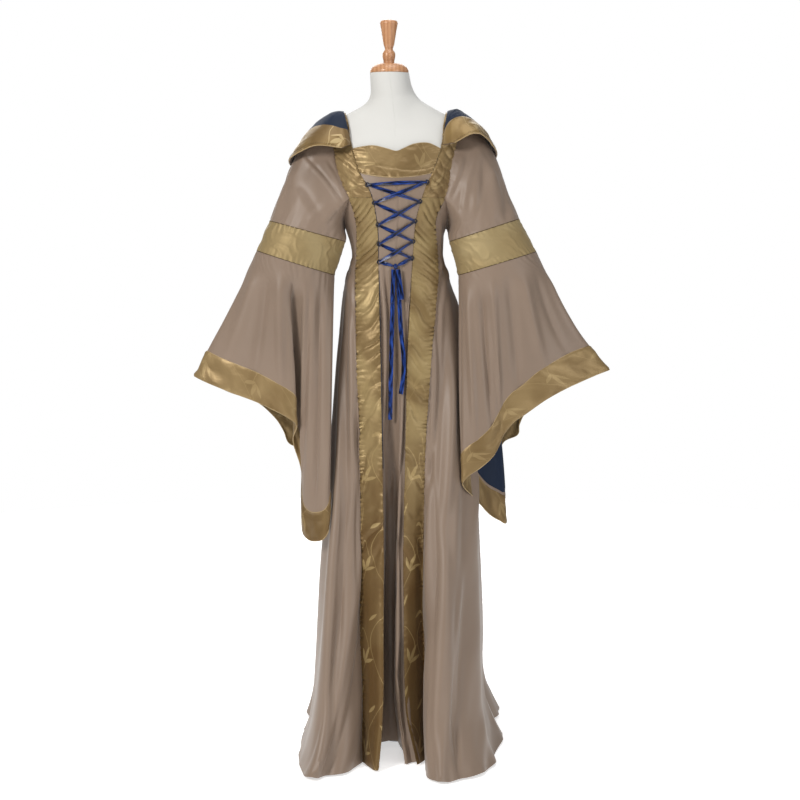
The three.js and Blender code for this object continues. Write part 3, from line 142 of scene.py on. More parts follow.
# The loops' heights at each side and how far they lie off the panel
LOOP_ROWS = table(
    "right left lift",
    (1290, 1296, 1.6), (1251, 1254, 1.3), (1203, 1211, 1.9), (1160, 1166, 2.05), (1119, 1128, 2.05),
)

# The ribbon's two hanging ends, from the tip up to the knot
TAIL_RIGHT = table(
    "x z lift",
    (-13, 768, 2.5), (-12, 825, 3), (-10.5, 890, 3.5), (-9, 960, 4), (-7.5, 1030, 4.6),
    (-5.4, 1102.3, 5.2),
)

TAIL_LEFT = table(
    "x z lift",
    (10.5, 826, 3.5), (15.5, 862, 4.5), (16.5, 908, 4.5), (11, 965, 4), (8, 1015, 4.6),
    (4.8, 1102.3, 5.2),
)

# The cuffs' edges; turn goes round the arm and sway bows the bell sideways
CUFF_RIGHT = table(
    "turn x y z sway",
    (0.01, -153, -124, 550, 0), (0.04, -151, -137, 524, 0), (0.075, -161, -142, 504, 0),
    (0.105, -178, -130, 496, 0), (0.135, -197, -108, 495, 0), (0.165, -212, -84, 510, 0),
    (0.19, -214, -62, 550, 0), (0.215, -215, -48, 640, 0), (0.24, -234, -62, 712, 0),
    (0.265, -224, -90, 752, 0), (0.29, -243, -96, 771, 0), (0.33, -275, -93, 788, 0),
    (0.38, -318, -84, 807, 0), (0.43, -373, -72, 826, 0), (0.48, -431, -52, 847, 0),
    (0.52, -459, -30, 858, 0), (0.56, -440, -4, 846, 0), (0.62, -385, 8, 818, 0),
    (0.69, -322, 12, 795, 0), (0.75, -280, 14, 758, 0), (0.8, -260, 18, 726, 0),
    (0.84, -249, 22, 698, 0), (0.89, -217, 26, 676, 0), (0.95, -187, -10, 602, 0),
)

CUFF_LEFT = table(
    "turn x y z sway",
    (0.04, 150, -124, 627, -4), (0.08, 163, -126, 644, 0), (0.12, 190, -124, 662, 0),
    (0.16, 217, -116, 686, 0), (0.19, 232, -106, 711, 0), (0.22, 242, -99, 733, 0),
    (0.25, 264, -95, 760, 0), (0.28, 291, -94, 779, 0), (0.32, 337, -90, 811, -6),
    (0.37, 385, -79, 836, -10), (0.43, 435, -62, 857, -15), (0.5, 484, -38, 873, -18),
    (0.55, 465, -12, 862, -16), (0.6, 415, 0, 838, -10), (0.63, 350, 10, 806, -5),
    (0.66, 302, 14, 772, 0), (0.69, 285, 18, 741, 0), (0.72, 281, 24, 716, 0), (0.75, 247, 34, 694, 0),
    (0.775, 238, 30, 640, 0), (0.8, 246, 6, 572, 5), (0.82, 255, -28, 522, 8),
    (0.85, 237, -46, 528, 6), (0.885, 212, -60, 546, 0), (0.92, 184, -78, 580, 0),
    (0.96, 169, -102, 598, 0), (1.0, 156, -114, 612, -4),
)

# The hood's profiles: side, share of the neckline, and points from there to the face edge
HOOD_ROWS = [
    (-1, 0.0, [[-108, -82, 1377], [-112, -86, 1375], [-116, -89, 1373], [-120, -91, 1372]]),
    (-1, 0.2, [[-122, -66, 1412], [-140, -76, 1400], [-157, -84, 1387], [-171, -89, 1377]]),
    (-1, 0.42, [[-134, -18, 1451], [-163, -38, 1429], [-190, -58, 1399], [-211, -76, 1365]]),
    (-1, 0.62, [[-142, 24, 1450], [-182, 20, 1425], [-219, -2, 1382], [-240, -34, 1346]]),
    (-1, 0.75, [[-130, 66, 1424], [-172, 84, 1376], [-206, 80, 1338], [-226, 52, 1328]]),
    (-1, 0.87, [[-80, 98, 1398], [-104, 118, 1268], [-130, 138, 1256], [-156, 132, 1330]]),
    (0, 1.0, [[0, 104, 1398], [0, 122, 1224], [0, 152, 1200], [0, 166, 1326]]),
    (1, 0.87, [[80, 98, 1398], [104, 118, 1268], [130, 138, 1256], [154, 132, 1332]]),
    (1, 0.75, [[130, 66, 1425], [170, 84, 1380], [202, 80, 1350], [219, 54, 1342]]),
    (1, 0.62, [[141, 24, 1454], [177, 22, 1430], [207, 4, 1400], [225, -26, 1366]]),
    (1, 0.42, [[134, -18, 1456], [159, -38, 1438], [181, -56, 1419], [198, -72, 1396]]),
    (1, 0.2, [[122, -60, 1420], [140, -72, 1414], [157, -80, 1407], [171, -86, 1403]]),
    (1, 0.0, [[112, -80, 1380], [118, -84, 1381], [124, -87, 1382], [130, -89, 1383]]),
]
STRAP_TOP = {"outerRight": -147, "innerRight": -114, "innerLeft": 112, "outerLeft": 147}
# How square the form's section is, its shoulders' and neck's ends (x, y, z, radius) and their blend
FORM_POWER = 2.3
SHOULDER_IN = (50, 8, 1431, 40)
SHOULDER_OUT = (146, 6, 1396, 35)
NECK_BOTTOM = (-2, 4, 1430, 52)
NECK_TOP = (-15, -4, 1541, 43.5)
BLEND = 26
# How far the strap goes over the shoulder, in degrees
STRAP_TURN_END = 118

# The rings above and below each elbow: middle, half axis outward and half axis forward
ARMS = {
    "right": {
        "side": -1,
        "upper": ((-199, -35, 1187), (-84, 0, 23), (0, -65, 2)),
        "lower": ((-226, -45, 1116), (-86, 0, 27), (0, -68, 2)),
        "cuff": CUFF_RIGHT,
    },
    "left": {
        "side": 1,
        "upper": ((199, -35, 1189), (77, 0, 25), (0, -65, 2)),
        "lower": ((228, -45, 1115), (86, 0, 26), (0, -68, 2)),
        "cuff": CUFF_LEFT,
    },
}
HOOD_FRONT_Z = 1377
HOOD_SEAM_IN = 2
HOOD_END_LIFT = 2.2
HOOD_SEAM_LIFT = 5.6
# The share of the neckline's half that runs along the strap
SEAT_STRAP_END = 0.7

LOOP_RADIUS = 4.4
LOOP_THICK = 1.1
# How far the ribbons, the knot and the bow's loops lie off the panel
LACE_LOW = 1.6
LACE_HIGH = 3
LACE_TOP = 4.4
LACE_GAP = 0.8
KNOT = (-1, 1109)
KNOT_LIFT = 5.2
KNOT_RADII = (5.2, 4.4, 6.2)
KNOT_END_GAP = 6
BOW_LOOPS = {
    "right": {"top": (-5.2, 1102.3), "bottom": (-8, 1028), "lift": 7.7},
    "left": {"top": (4.8, 1102.3), "bottom": (13, 1036), "lift": 7.7},
}
# Radii and heights of the turned cap and finial
CAP_PROFILE = [(0, 0), (43.5, 0), (43.5, 5), (40, 12), (34, 17), (28.5, 20), (0, 20)]
FINIAL_PROFILE = [
    (0, 0), (12.3, 0), (12.3, 6), (14.5, 16), (14.5, 23), (11, 29), (9, 31), (9, 34), (12, 42),
    (17.5, 76), (20.3, 90), (18, 95), (10, 97), (0, 97),
]


# Numbers and curves
def mix(a, b, t):
    return a + (b - a) * t


def ease(t):
    t = np.clip(t, 0, 1)
    return t * t * (3 - 2 * t)


def bump_at(x, centre, width):
    return np.exp(-(((x - centre) / width) ** 2))


def column(rows, key, name, at):
    """A column's value at places between the rows, by a smooth curve through them."""
    xs, ys = rows[key], rows[name]
    last = len(xs) - 1
    at = np.clip(at, xs[0], xs[-1])
    i = np.clip(np.searchsorted(xs, at) - 1, 0, last - 1)

    def slope(k):
        a = np.maximum(k - 1, 0)
        b = np.minimum(k + 1, last)
        return (ys[b] - ys[a]) / (xs[b] - xs[a])

    step = xs[i + 1] - xs[i]
    t = (at - xs[i]) / step
    h = t * t * (3 - 2 * t)
    value = ys[i] * (1 - h) + ys[i + 1] * h
    return value + step * slope(i) * t * (1 - t) ** 2 - step * slope(i + 1) * t * t * (1 - t)


def spline(points, t):
    """A smooth curve through points, one row for each; t runs from 0 to 1."""
    last = len(points) - 1
    at = np.clip(t, 0, 1) * last
    i = np.minimum(last - 1, np.floor(at)).astype(int)
    f = (at - i)[..., None]
    a = points[np.maximum(i - 1, 0)]
    b = points[i]
    c = points[i + 1]
    d = points[np.minimum(i + 2, last)]
    curve = 2 * b + (c - a) * f + (2 * a - 5 * b + 4 * c - d) * f * f + (3 * b - 3 * c + d - a) * f**3
    return 0.5 * curve


def root(rising, low, high):
    """Where a rising function of arrays passes zero."""
    a = np.array(low, float)
    b = np.array(high, float)
    for _ in range(22):
        middle = (a + b) / 2
        over = rising(middle) > 0
        b = np.where(over, middle, b)
        a = np.where(over, a, middle)
    return (a + b) / 2


def stack(x, y, z):
    return np.stack(np.broadcast_arrays(x, y, z), axis=-1).astype(float)


def length_of(v):
    return np.sqrt((v * v).sum(axis=-1))


def unit(v):
    return v / np.maximum(length_of(v), 1e-9)[..., None]


def lattice(seed, ix, iy):
    """An even pseudo-random value from -1 to 1 for each pair of whole numbers."""
    mask = np.int64(0xFFFFFFFF)
    h = (ix.astype(np.int64) * 374761393 + iy.astype(np.int64) * 668265263 + seed * 974634777) & mask
    h = ((h ^ (h >> 13)) * 1274126177) & mask
    h = (h ^ (h >> 16)) & 0xFFFF
    return h / 32767.5 - 1


def noise(seed, x, y, octaves=2):
    """Smooth uneven values from -1 to 1 over a plane whose unit is one hump."""
    total = 0.0
    size = 1.0
    for k in range(octaves):
        fx, fy = np.broadcast_arrays(x * 2**k + 17.3 * k, y * 2**k - 9.1 * k)
        ix, iy = np.floor(fx), np.floor(fy)
        tx, ty = ease(fx - ix), ease(fy - iy)
        s = seed + 31 * k
        low = mix(lattice(s, ix, iy), lattice(s, ix + 1, iy), tx)
        high = mix(lattice(s, ix, iy + 1), lattice(s, ix + 1, iy + 1), tx)
        total = total + size * mix(low, high, ty)
        size *= 0.5
    return total


# The dress form as a distance, negative inside
def soft_min(a, b):
    near = np.maximum(BLEND - np.abs(a - b), 0) / BLEND
    return np.minimum(a, b) - near * near * BLEND / 4


def round_cone(p, start, end, sideways):
    a = stack(start[0] * sideways, start[1], start[2])
    b = stack(end[0] * sideways, end[1], end[2])
    axis = b - a
    t = np.clip(((p - a) * axis).sum(axis=-1) / (axis * axis).sum(axis=-1), 0, 1)
    return length_of(p - (a + axis * t[..., None])) - mix(start[3], end[3], t)


def torso(p):
    x, y, z = p[..., 0], p[..., 1], p[..., 2]
    side = column(FORM_ROWS, "z", "side", z)
    depth = np.where(y < 0, column(FORM_ROWS, "z", "front", z), column(FORM_ROWS, "z", "back", z))
    reach = np.hypot(x, y) + 1e-6
    q = ((np.abs(x) / side) ** FORM_POWER + (np.abs(y) / depth) ** FORM_POWER) ** (1 / FORM_POWER)
    return reach - reach / np.maximum(q, 1e-6) + np.maximum(0, z - FORM_ROWS["z"][-1])


def form_distance(p):
    shoulder = round_cone(p, SHOULDER_IN, SHOULDER_OUT, np.where(p[..., 0] < 0, -1.0, 1.0))
    neck = round_cone(p, NECK_BOTTOM, NECK_TOP, np.ones(p.shape[:-1]))
    return soft_min(soft_min(torso(p), shoulder), neck)


def form_reach(start, direction, lift):
    """How far along a ray from inside the form its skin lies, moved out by lift."""
    start, direction = np.broadcast_arrays(start, direction)
    shape = start.shape[:-1]
    return root(
        lambda r: form_distance(start + direction * r[..., None]) - lift,
        np.zeros(shape),
        np.full(shape, 420.0),
    )


# The gown's trunk: an angle from the front and a height give a point of its inside
def section_reach(direction, z):
    x, y = direction[..., 0], direction[..., 1]
    side = np.where(x < 0, column(GOWN_ROWS, "z", "right", z), column(GOWN_ROWS, "z", "left", z))
    depth = np.where(y < 0, column(GOWN_ROWS, "z", "front", z), column(GOWN_ROWS, "z", "back", z))
    power = column(GOWN_ROWS, "z", "power", z)
    return ((np.abs(x) / side) ** power + (np.abs(y) / depth) ** power) ** (-1 / power)


def smooth_trunk(angle, z):
    angle, z = np.broadcast_arrays(np.asarray(angle, float), np.asarray(z, float))
    direction = stack(np.sin(angle), -np.cos(angle), 0)
    body = ease((z - BODY_FROM) / (BODY_FULL - BODY_FROM))
    skirt = section_reach(direction, z)
    bodice = skirt.copy()
    high = body > 0
    if high.any():
        start = stack(0, 0, z[high])
        bodice[high] = form_reach(start, direction[high], FORM_CLEARANCE)
    reach = mix(skirt, bodice, body)
    return stack(direction[..., 0] * reach, direction[..., 1] * reach, z)


SEAM_NAMES = ("outerRight", "innerRight", "innerLeft", "outerLeft")
SEAM_Z = np.arange(HEM_Z, CHEST_Z + 8, 4.0)


def seam_table():
    found = {}
    for name in SEAM_NAMES:
        x = column(SEAM_ROWS, "z", name, SEAM_Z)
        limit = np.radians(85) * np.ones(len(SEAM_Z))
        found[name] = root(lambda a: smooth_trunk(a, SEAM_Z)[:, 0] - x, -limit, limit)
    return found


SEAMS = seam_table()


def trunk_angle(turn, z):
    piece = np.clip(np.floor(turn), 0, 6).astype(int)
    backward = ((piece == 0) | (piece == 6)) & (z > UNDERARM_Z)
    side = np.radians(np.where(backward, column(ARMHOLE_BACK_ROWS, "z", "angle", z), SIDE_SEAM_DEG))
    front = [np.interp(z, SEAM_Z, SEAMS[name]) for name in SEAM_NAMES]
    whole = np.full(z.shape, math.pi)
    angles = np.stack([-whole, -side, *front, side, whole])
    low = np.take_along_axis(angles, piece[None], axis=0)[0]
    high = np.take_along_axis(angles, piece[None] + 1, axis=0)[0]
    return mix(low, high, turn - piece)


def trunk_point(turn, z):
    turn, z = np.broadcast_arrays(np.asarray(turn, float), np.asarray(z, float))
    turn = np.clip(turn, 0, 7)
    p = smooth_trunk(trunk_angle(turn, z), z)
    low = z < FOLD_TOP
    share = np.clip(1 - z / FOLD_TOP, 0, 1) / (1 - HEM_Z / FOLD_TOP)
    fold = np.where(low, share**FOLD_GROWTH, 0)
    hem = np.full(z.shape, float(HEM_Z))
    plain = smooth_trunk(trunk_angle(turn, hem), hem)
    p[..., 0] += fold * (column(HEM_ROWS, "turn", "x", turn) - plain[..., 0])
    p[..., 1] += fold * (column(HEM_ROWS, "turn", "y", turn) - plain[..., 1])
    return p


def trunk_normal(turn, z):
    inside = np.clip(turn, 0.02, 6.98)
    z = np.maximum(z, HEM_Z + 1)
    across = trunk_point(inside + 0.02, z) - trunk_point(inside - 0.02, z)
    up = trunk_point(inside, z + 1) - trunk_point(inside, z - 1)
    return unit(np.cross(across, up))


def trunk_grid(first, last, columns, rows, top):
    """Points of one piece of the trunk: columns from seam to seam, rows from the hem to its top."""
    turn = np.linspace(first, last, columns)[:, None] * np.ones(rows)[None, :]
    hem = column(HEM_ROWS, "turn", "z", turn)
    z = mix(hem, top(turn), np.linspace(0, 1, rows)[None, :])
    step = 0.01
    for edge, inward in ((0, 1), (-1, -1)):
        beside = trunk_point(turn[edge] + inward * step, z[edge])
        reach = length_of(beside - trunk_point(turn[edge], z[edge])) / step
        turn[edge] += inward * GAP / 2 / np.maximum(reach, 1)
    return trunk_point(turn, z)


# The chest and shoulders
def seam_x(name, z):
    return column(SEAM_ROWS, "z", name, z)


def chest_point(x, z):
    start = stack(x, 0, z)
    direction = np.array([0.0, -1.0, 0.0])
    return start + direction * form_reach(start, direction, FORM_CLEARANCE)[..., None]


def shoulder_point(x, degrees):
    start = stack(x, SHOULDER_OUT[1], CHEST_Z)
    turn = np.radians(degrees)
    direction = stack(0 * x, -np.cos(turn), np.sin(turn))
    return start + direction * form_reach(start, direction, FORM_CLEARANCE)[..., None]


def strap_places(steps):
    """Heights up the front, then degrees over the shoulder, as one list for all the strap's columns."""
    rise = np.linspace(BAND_TOP_Z, CHEST_Z, steps)
    front = stack(rise, 0 * rise, 0 * rise)
    turn = np.linspace(0, STRAP_TURN_END, steps)[1:]
    over = stack(0 * turn + CHEST_Z, turn, 0 * turn)
    down = np.linspace(0, 1, steps // 6)[1:]
    back = stack(0 * down + CHEST_Z, 0 * down + STRAP_TURN_END, down)
    return np.concatenate([front, over, back])


def strap_x(side_name, edge, places):
    name = edge + side_name
    return mix(seam_x(name, places[:, 0]), STRAP_TOP[name], ease(places[:, 1] / 90))


def strap_points(x, places):
    """Points at one x for each place."""
    front = chest_point(x, places[:, 0])
    degrees = places[:, 1].copy()
    down = places[:, 2] > 0
    far = x[down]
    end = root(
        lambda d: BACK_NECK_Z + GAP / 2 - shoulder_point(far, d)[:, 2],
        np.full(len(far), float(STRAP_TURN_END)),
        np.full(len(far), 179.0),
    )
    degrees[down] = mix(degrees[down], end, places[down, 2])
    over = shoulder_point(x, degrees)
    return np.where((places[:, 1] > 0)[:, None], over, front)


def strap_grid(side_name, columns, steps):
    places = strap_places(steps)
    toward = 1 if side_name == "Right" else -1
    outer = strap_x(side_name, "outer", places) + toward * GAP / 2
    inner = strap_x(side_name, "inner", places) - toward * GAP / 2
    return np.stack([strap_points(mix(outer, inner, t), places) for t in np.linspace(0, 1, columns)])


def yoke_seam(x):
    return YOKE_BOTTOM_Z + YOKE_ARCH * (x / YOKE_HALF_WIDTH) ** 2


def yoke_grid(columns, rows):
    share = np.linspace(0, 1, columns)[:, None]
    k = np.linspace(0, 1, rows)[None, :]
    side_z = mix(YOKE_BOTTOM_Z + YOKE_ARCH + GAP / 2, YOKE_SIDE_Z, k)
    x = mix(seam_x("innerRight", side_z) + GAP / 2, seam_x("innerLeft", side_z) - GAP / 2, share)
    top = column(YOKE_TOP_ROWS, "share", "z", share)
    return chest_point(x, mix(yoke_seam(x) + GAP / 2, top, k))


def armhole_ring(side):
    """Points and normals just past the armhole's edge, from the underarm up the front and down the back."""
    forward = np.linspace(0, 1, 40)[:-1]
    turn = 1 + forward if side < 0 else 6 - forward
    z = mix(UNDERARM_Z, BAND_TOP_Z, forward**ARMHOLE_RISE) + GAP / 2
    front, front_normal = trunk_point(turn, z), trunk_normal(turn, z)
    side_name = "Right" if side < 0 else "Left"
    places = strap_places(24)
    x = strap_x(side_name, "outer", places) + side * GAP / 2
    strap = strap_points(x, places)
    along = np.gradient(strap, axis=0)
    strap_normal = unit(np.cross(strap_points(x + 1, places) - strap_points(x - 1, places), along))
    down = np.linspace(BACK_NECK_Z - 8, UNDERARM_Z + 6, 34)
    angle = np.radians(column(ARMHOLE_BACK_ROWS, "z", "angle", down))
    reach = length_of(smooth_trunk(angle * side, down)[:, :2])
    angle = angle - 0.75 * GAP / reach
    back = smooth_trunk(angle * side, down)
    turned = smooth_trunk((angle + 0.01) * side, down) - smooth_trunk((angle - 0.01) * side, down)
    rise = smooth_trunk(angle * side, down + 1) - smooth_trunk(angle * side, down - 1)
    back_normal = unit(np.cross(turned * side, rise))
    return (
        np.concatenate([front, strap, back]),
        np.concatenate([front_normal, strap_normal, back_normal]),
    )


# Sleeves
def elbow_ring(ring, turn):
    centre, out, fore = (np.array(v, float) for v in ring)
    angle = 2 * math.pi * np.asarray(turn, float)[..., None]
    return centre - out * np.cos(angle) + fore * np.sin(angle)


def arm_axis(arm):
    return unit(np.array(arm["lower"][0], float) - np.array(arm["upper"][0], float))


def upper_sleeve_grid(arm, rows):
    side = arm["side"]
    start, normal = armhole_ring(side)
    steps = length_of(np.roll(start, -1, axis=0) - start)
    turns = np.concatenate([[0], np.cumsum(steps)[:-1]]) / steps.sum()
    axis = arm_axis(arm)
    end = elbow_ring(arm["upper"], turns) - axis * GAP / 2
    chord = length_of(start - end)[:, None]
    middle = start.mean(axis=0)
    away = unit(np.array(arm["upper"][0], float) - middle)
    leave = normal * 0.45 + away * 0.8 + unit(start - middle) * 0.1 + np.array([side * 0.3, 0, 0])
    leave = unit(leave) * chord * 0.8
    arrive = axis * chord
    t = np.linspace(0, 1, rows)[None, :, None]
    h = t * t * (3 - 2 * t)
    straight = start[:, None] * (1 - h) + end[:, None] * h
    return straight + leave[:, None] * t * (1 - t) ** 2 - arrive[:, None] * t * t * (1 - t)


def elbow_band_grid(arm, columns, rows):
    turn = np.arange(columns) / columns
    axis = arm_axis(arm)
    top = elbow_ring(arm["upper"], turn) + axis * GAP / 2
    bottom = elbow_ring(arm["lower"], turn) - axis * GAP / 2
    return mix(top[:, None], bottom[:, None], np.linspace(0, 1, rows)[None, :, None])


def round_table(rows):
    """A table of a closed ring with a few rows of the turns before and after it."""
    before = {name: values[-3:] - (name == "turn") for name, values in rows.items()}
    after = {name: values[:3] + (name == "turn") for name, values in rows.items()}
    whole = {name: np.concatenate([before[name], rows[name], after[name]]) for name in rows}
    keep = np.concatenate([[True], np.diff(whole["turn"]) > 1e-6])
    return {name: values[keep] for name, values in whole.items()}


def bell_grid(arm, columns, rows, only_trim):
    cuff = round_table(arm["cuff"])
    turn = np.arange(columns) / columns
    start = elbow_ring(arm["lower"], turn) + arm_axis(arm) * GAP / 2
    hem = stack(*(column(cuff, "turn", name, turn) for name in ("x", "y", "z")))
    sway = column(cuff, "turn", "sway", turn) * arm["side"]
    trim = 1 - CUFF_TRIM_WIDTH / length_of(start - hem)
    half = GAP / 2 / length_of(start - hem)
    k = np.linspace(0, 1, rows)[None, :]
    first = (trim + half)[:, None] if only_trim else np.zeros((columns, 1))
    last = np.ones((columns, 1)) if only_trim else (trim - half)[:, None]
    t = mix(first, last, k)
    p = start[:, None] * (1 - t[..., None]) + hem[:, None] * t[..., None]
    p[..., 0] += sway[:, None] * np.sin(math.pi * np.clip(t, 0, 1) ** 1.2)
    return p


# The hood, seamed to the neckline and laid down the back
def neckline_seat(side, seat):
    side_name = "Right" if side < 0 else "Left"
    if side != 0 and seat <= SEAT_STRAP_END:
        over = [(CHEST_Z, degrees, 0) for degrees in (0, 30, 60, 90, STRAP_TURN_END)]
        places = np.array([(HOOD_FRONT_Z, 0, 0), *over, (CHEST_Z, STRAP_TURN_END, 1)], float)
        x = strap_x(side_name, "inner", places) + side * HOOD_SEAM_IN
        line = strap_points(x, places)
        beside = strap_points(x + 1, places) - strap_points(x - 1, places)
        normals = unit(np.cross(beside, np.gradient(line, axis=0)))
        at = seat / SEAT_STRAP_END * (len(places) - 1)
        k = min(int(at), len(places) - 2)
        return mix(line[k], line[k + 1], at - k), unit(mix(normals[k], normals[k + 1], at - k))
    behind = (seat - SEAT_STRAP_END) / (1 - SEAT_STRAP_END)
    x = 0 if side == 0 else mix(STRAP_TOP["inner" + side_name], 0, behind)
    z = np.array([BACK_NECK_Z - 2.0])
    angle = root(lambda a: x - smooth_trunk(a, z)[:, 0], np.radians([95.0]), np.radians([265.0]))
    across = smooth_trunk(angle + 0.02, z) - smooth_trunk(angle - 0.02, z)
    up = smooth_trunk(angle, z + 1) - smooth_trunk(angle, z - 1)
    return smooth_trunk(angle, z)[0], unit(np.cross(across, up))[0]


def hood_profiles():
    profiles = []
    for side, seat, points in HOOD_ROWS:
        point, normal = neckline_seat(side, seat)
        lift = mix(HOOD_END_LIFT, HOOD_SEAM_LIFT, min(1, seat / HOOD_ROWS[1][1]))
        profiles.append([point + normal * (CLOTH + lift), *np.array(points, float)])
    return np.array(profiles)


def hood_grid(columns, lining_rows, facing_rows):
    profiles = hood_profiles()
    u = np.linspace(0, 1, columns)
    lines = np.stack([spline(profiles[:, k], u) for k in range(profiles.shape[1])], axis=1)
    fine = np.stack([spline(lines[i], np.linspace(0, 1, 60)) for i in range(columns)])
    length = length_of(np.diff(fine, axis=1)).sum(axis=1)
    facing = mix(HOOD_FACING_FRONT, HOOD_FACING_BACK, np.sin(math.pi * u) ** 0.5)
    # The facing runs up to the neckline at the hood's two front ends
    least = mix(0.02, HOOD_LINING_SHARE, ease((np.minimum(u, 1 - u) - 0.05) / 0.07))
    split = np.maximum(least, 1 - facing / length)
    grid = []
    for i in range(columns):
        lining = np.linspace(0, split[i], lining_rows + 1)[:-1]
        shares = np.concatenate([lining, np.linspace(split[i], 1, facing_rows)])
        grid.append(spline(lines[i], shares))
    return np.stack(grid)


# Heights of the cloth's creases and gathers over its smooth form, in mm
def spans(points, closed=False):
    """How far each point lies from its row's start and from its column's start."""
    whole = np.concatenate([points, points[:1]]) if closed else points
    across = np.cumsum(length_of(np.diff(whole, axis=0)), axis=0)
    along = np.cumsum(length_of(np.diff(points, axis=1)), axis=1)
    return np.pad(across, ((1, 0), (0, 0))), np.pad(along, ((0, 0), (1, 0)))


def puckers(seed, along, from_edge, pitch, reach, height):
    """Small gathers drawn up by a seam, uneven in width and length."""
    wave = np.sin(2 * math.pi * (along / pitch + 0.5 * noise(seed, along / pitch / 3.7, 0 * along)))
    size = 0.6 + 0.5 * noise(seed + 3, along / pitch / 1.9, 0 * along)
    length = reach * (0.8 + 0.4 * noise(seed + 7, along / pitch / 1.3, 0 * along))
    return height * wave * size * np.exp(-((from_edge / length) ** 1.6))


def furrows(rows, share, z, width):
    """Long soft folds, given one by one: where each starts and ends, how wide it is and how high."""
    total = 0.0
    for top, z_top, bottom, z_bottom, wide, high in zip(*rows.values()):
        t = np.clip((z_top - z) / (z_top - z_bottom), 0, 1)
        centre = mix(top, bottom, t)
        window = ease(t / 0.2) * (ease((1 - t) / 0.2) if z_bottom > 20 else 1)
        total = total + high * window * bump_at((share - centre) * width, 0, wide)
    return total


def creases(rows, points, front=0.0):
    """Sharper creases on the front, each along a line between two places given by x and z."""
    total = 0.0
    x, z = points[..., 0], points[..., 2]
    for x0, z0, x1, z1, wide, high in zip(*rows.values()):
        along_x, along_z = x1 - x0, z1 - z0
        long = math.hypot(along_x, along_z)
        t = ((x - x0) * along_x + (z - z0) * along_z) / long**2
        off = ((x - x0) * along_z - (z - z0) * along_x) / long
        # A valley bows to one side of its line and a ridge to the other
        bow = math.copysign(0.03 * long, -high)
        off = off + bow * np.sin(math.pi * np.clip(t, 0, 1))
        window = ease((t + 0.15) / 0.3) * ease((1.15 - t) / 0.3)
        total = total + high * window * (bump_at(off, 0, wide) - 0.45 * bump_at(off, 1.9 * wide, wide))
    return total * (points[..., 1] < front)


def normals_of(points, closed=False):
    if closed:
        across = np.roll(points, -1, axis=0) - np.roll(points, 1, axis=0)
    else:
        across = np.gradient(points, axis=0)
    return unit(np.cross(across, np.gradient(points, axis=1)))


def raised(points, height, closed=False):
    return points + normals_of(points, closed) * np.broadcast_to(height, points.shape[:2])[..., None]


# Meshes
def tube_faces(columns, rows, ring=False):
    """Faces of a grid closed round its columns, with capped ends, or with its rows closed to a ring."""
    faces = []
    for i in range(columns):
        m = (i + 1) % columns
        for j in range(rows if ring else rows - 1):
            n = (j + 1) % rows
            faces.append([i * rows + j, m * rows + j, m * rows + n, i * rows + n])
    if not ring:
        faces.append([i * rows for i in range(columns)][::-1])
        faces.append([i * rows + rows - 1 for i in range(columns)])
    return faces


def mesh_piece(name, vertices, faces, finish, uv=None, sharp_deg=50):
    mesh = bpy.data.meshes.new(name)
    mesh.from_pydata((np.asarray(vertices) * MM).tolist(), [], faces)
    if uv is not None:
        layer = mesh.uv_layers.new(name="cut_in_metres")
        layer.data.foreach_set("uv", (np.asarray(uv) * MM).ravel())
    mesh.materials.append(finish)
    mesh.validate()
    mesh.shade_smooth()
    mesh.set_sharp_from_angle(angle=math.radians(sharp_deg))
    piece = bpy.data.objects.new(name, mesh)
    bpy.context.scene.collection.objects.link(piece)
    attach(piece, "root")
    return piece


def cloth_wall(name, points, low, high, finish, closed=False):
    """A piece of cloth of an even thickness over a grid of points whose normals face out of it."""
    columns, rows = points.shape[:2]
    normals = normals_of(points, closed)
    vertices = np.concatenate([(points + normals * d).reshape(-1, 3) for d in (low, high)])
    across, along = spans(points, closed)
    if closed:
        along = np.concatenate([along, along[:1]])
    last = columns if closed else columns - 1
    i, j = np.meshgrid(np.arange(last), np.arange(rows - 1), indexing="ij")
    i, j = i.ravel(), j.ravel()
    e, zero, top = np.arange(last), np.zeros(last, int), np.full(last, rows - 1)
    corners = [
        [(1, i, j), (1, i + 1, j), (1, i + 1, j + 1), (1, i, j + 1)],
        [(0, i, j), (0, i, j + 1), (0, i + 1, j + 1), (0, i + 1, j)],
        [(0, e, zero), (0, e + 1, zero), (1, e + 1, zero), (1, e, zero)],
        [(1, e + 1, top), (0, e + 1, top), (0, e, top), (1, e, top)],
    ]
    if not closed:
        k = np.arange(rows - 1)
        start, end = 0 * k, 0 * k + last
        corners.append([(0, start, k), (1, start, k), (1, start, k + 1), (0, start, k + 1)])
        corners.append([(0, end, k), (0, end, k + 1), (1, end, k + 1), (1, end, k)])
    faces, uv = [], []
    for quad in corners:
        at = [(layer * columns + a % columns) * rows + b for layer, a, b in quad]
        faces.append(np.stack(at, axis=1))
        uv.append(np.stack([np.stack([across[a, b], along[a, b]], axis=-1) for _, a, b in quad], axis=1))
    return mesh_piece(name, vertices, np.concatenate(faces).tolist(), finish, np.concatenate(uv))


def declare_cloth(piece, node, slot, points, closed, held="hung", rests_on=()):
    """Puts a piece of cloth in place of its CAD solid, by hiding the solid."""
    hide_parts(node)


def sew(node, points, relief, finish, slot, low=0.0, high=CLOTH, closed=False, **lies):
    """A piece of the gown's cloth: its smooth form, with the relief of its folds on it."""
    piece = cloth_wall(node + "_cloth", raised(points, relief, closed), low, high, finish, closed)
    declare_cloth(piece, node, slot, points, closed, **lies)


# How high a cord's strands stand, as a share of its radius
STRAND_HEIGHT = 0.14


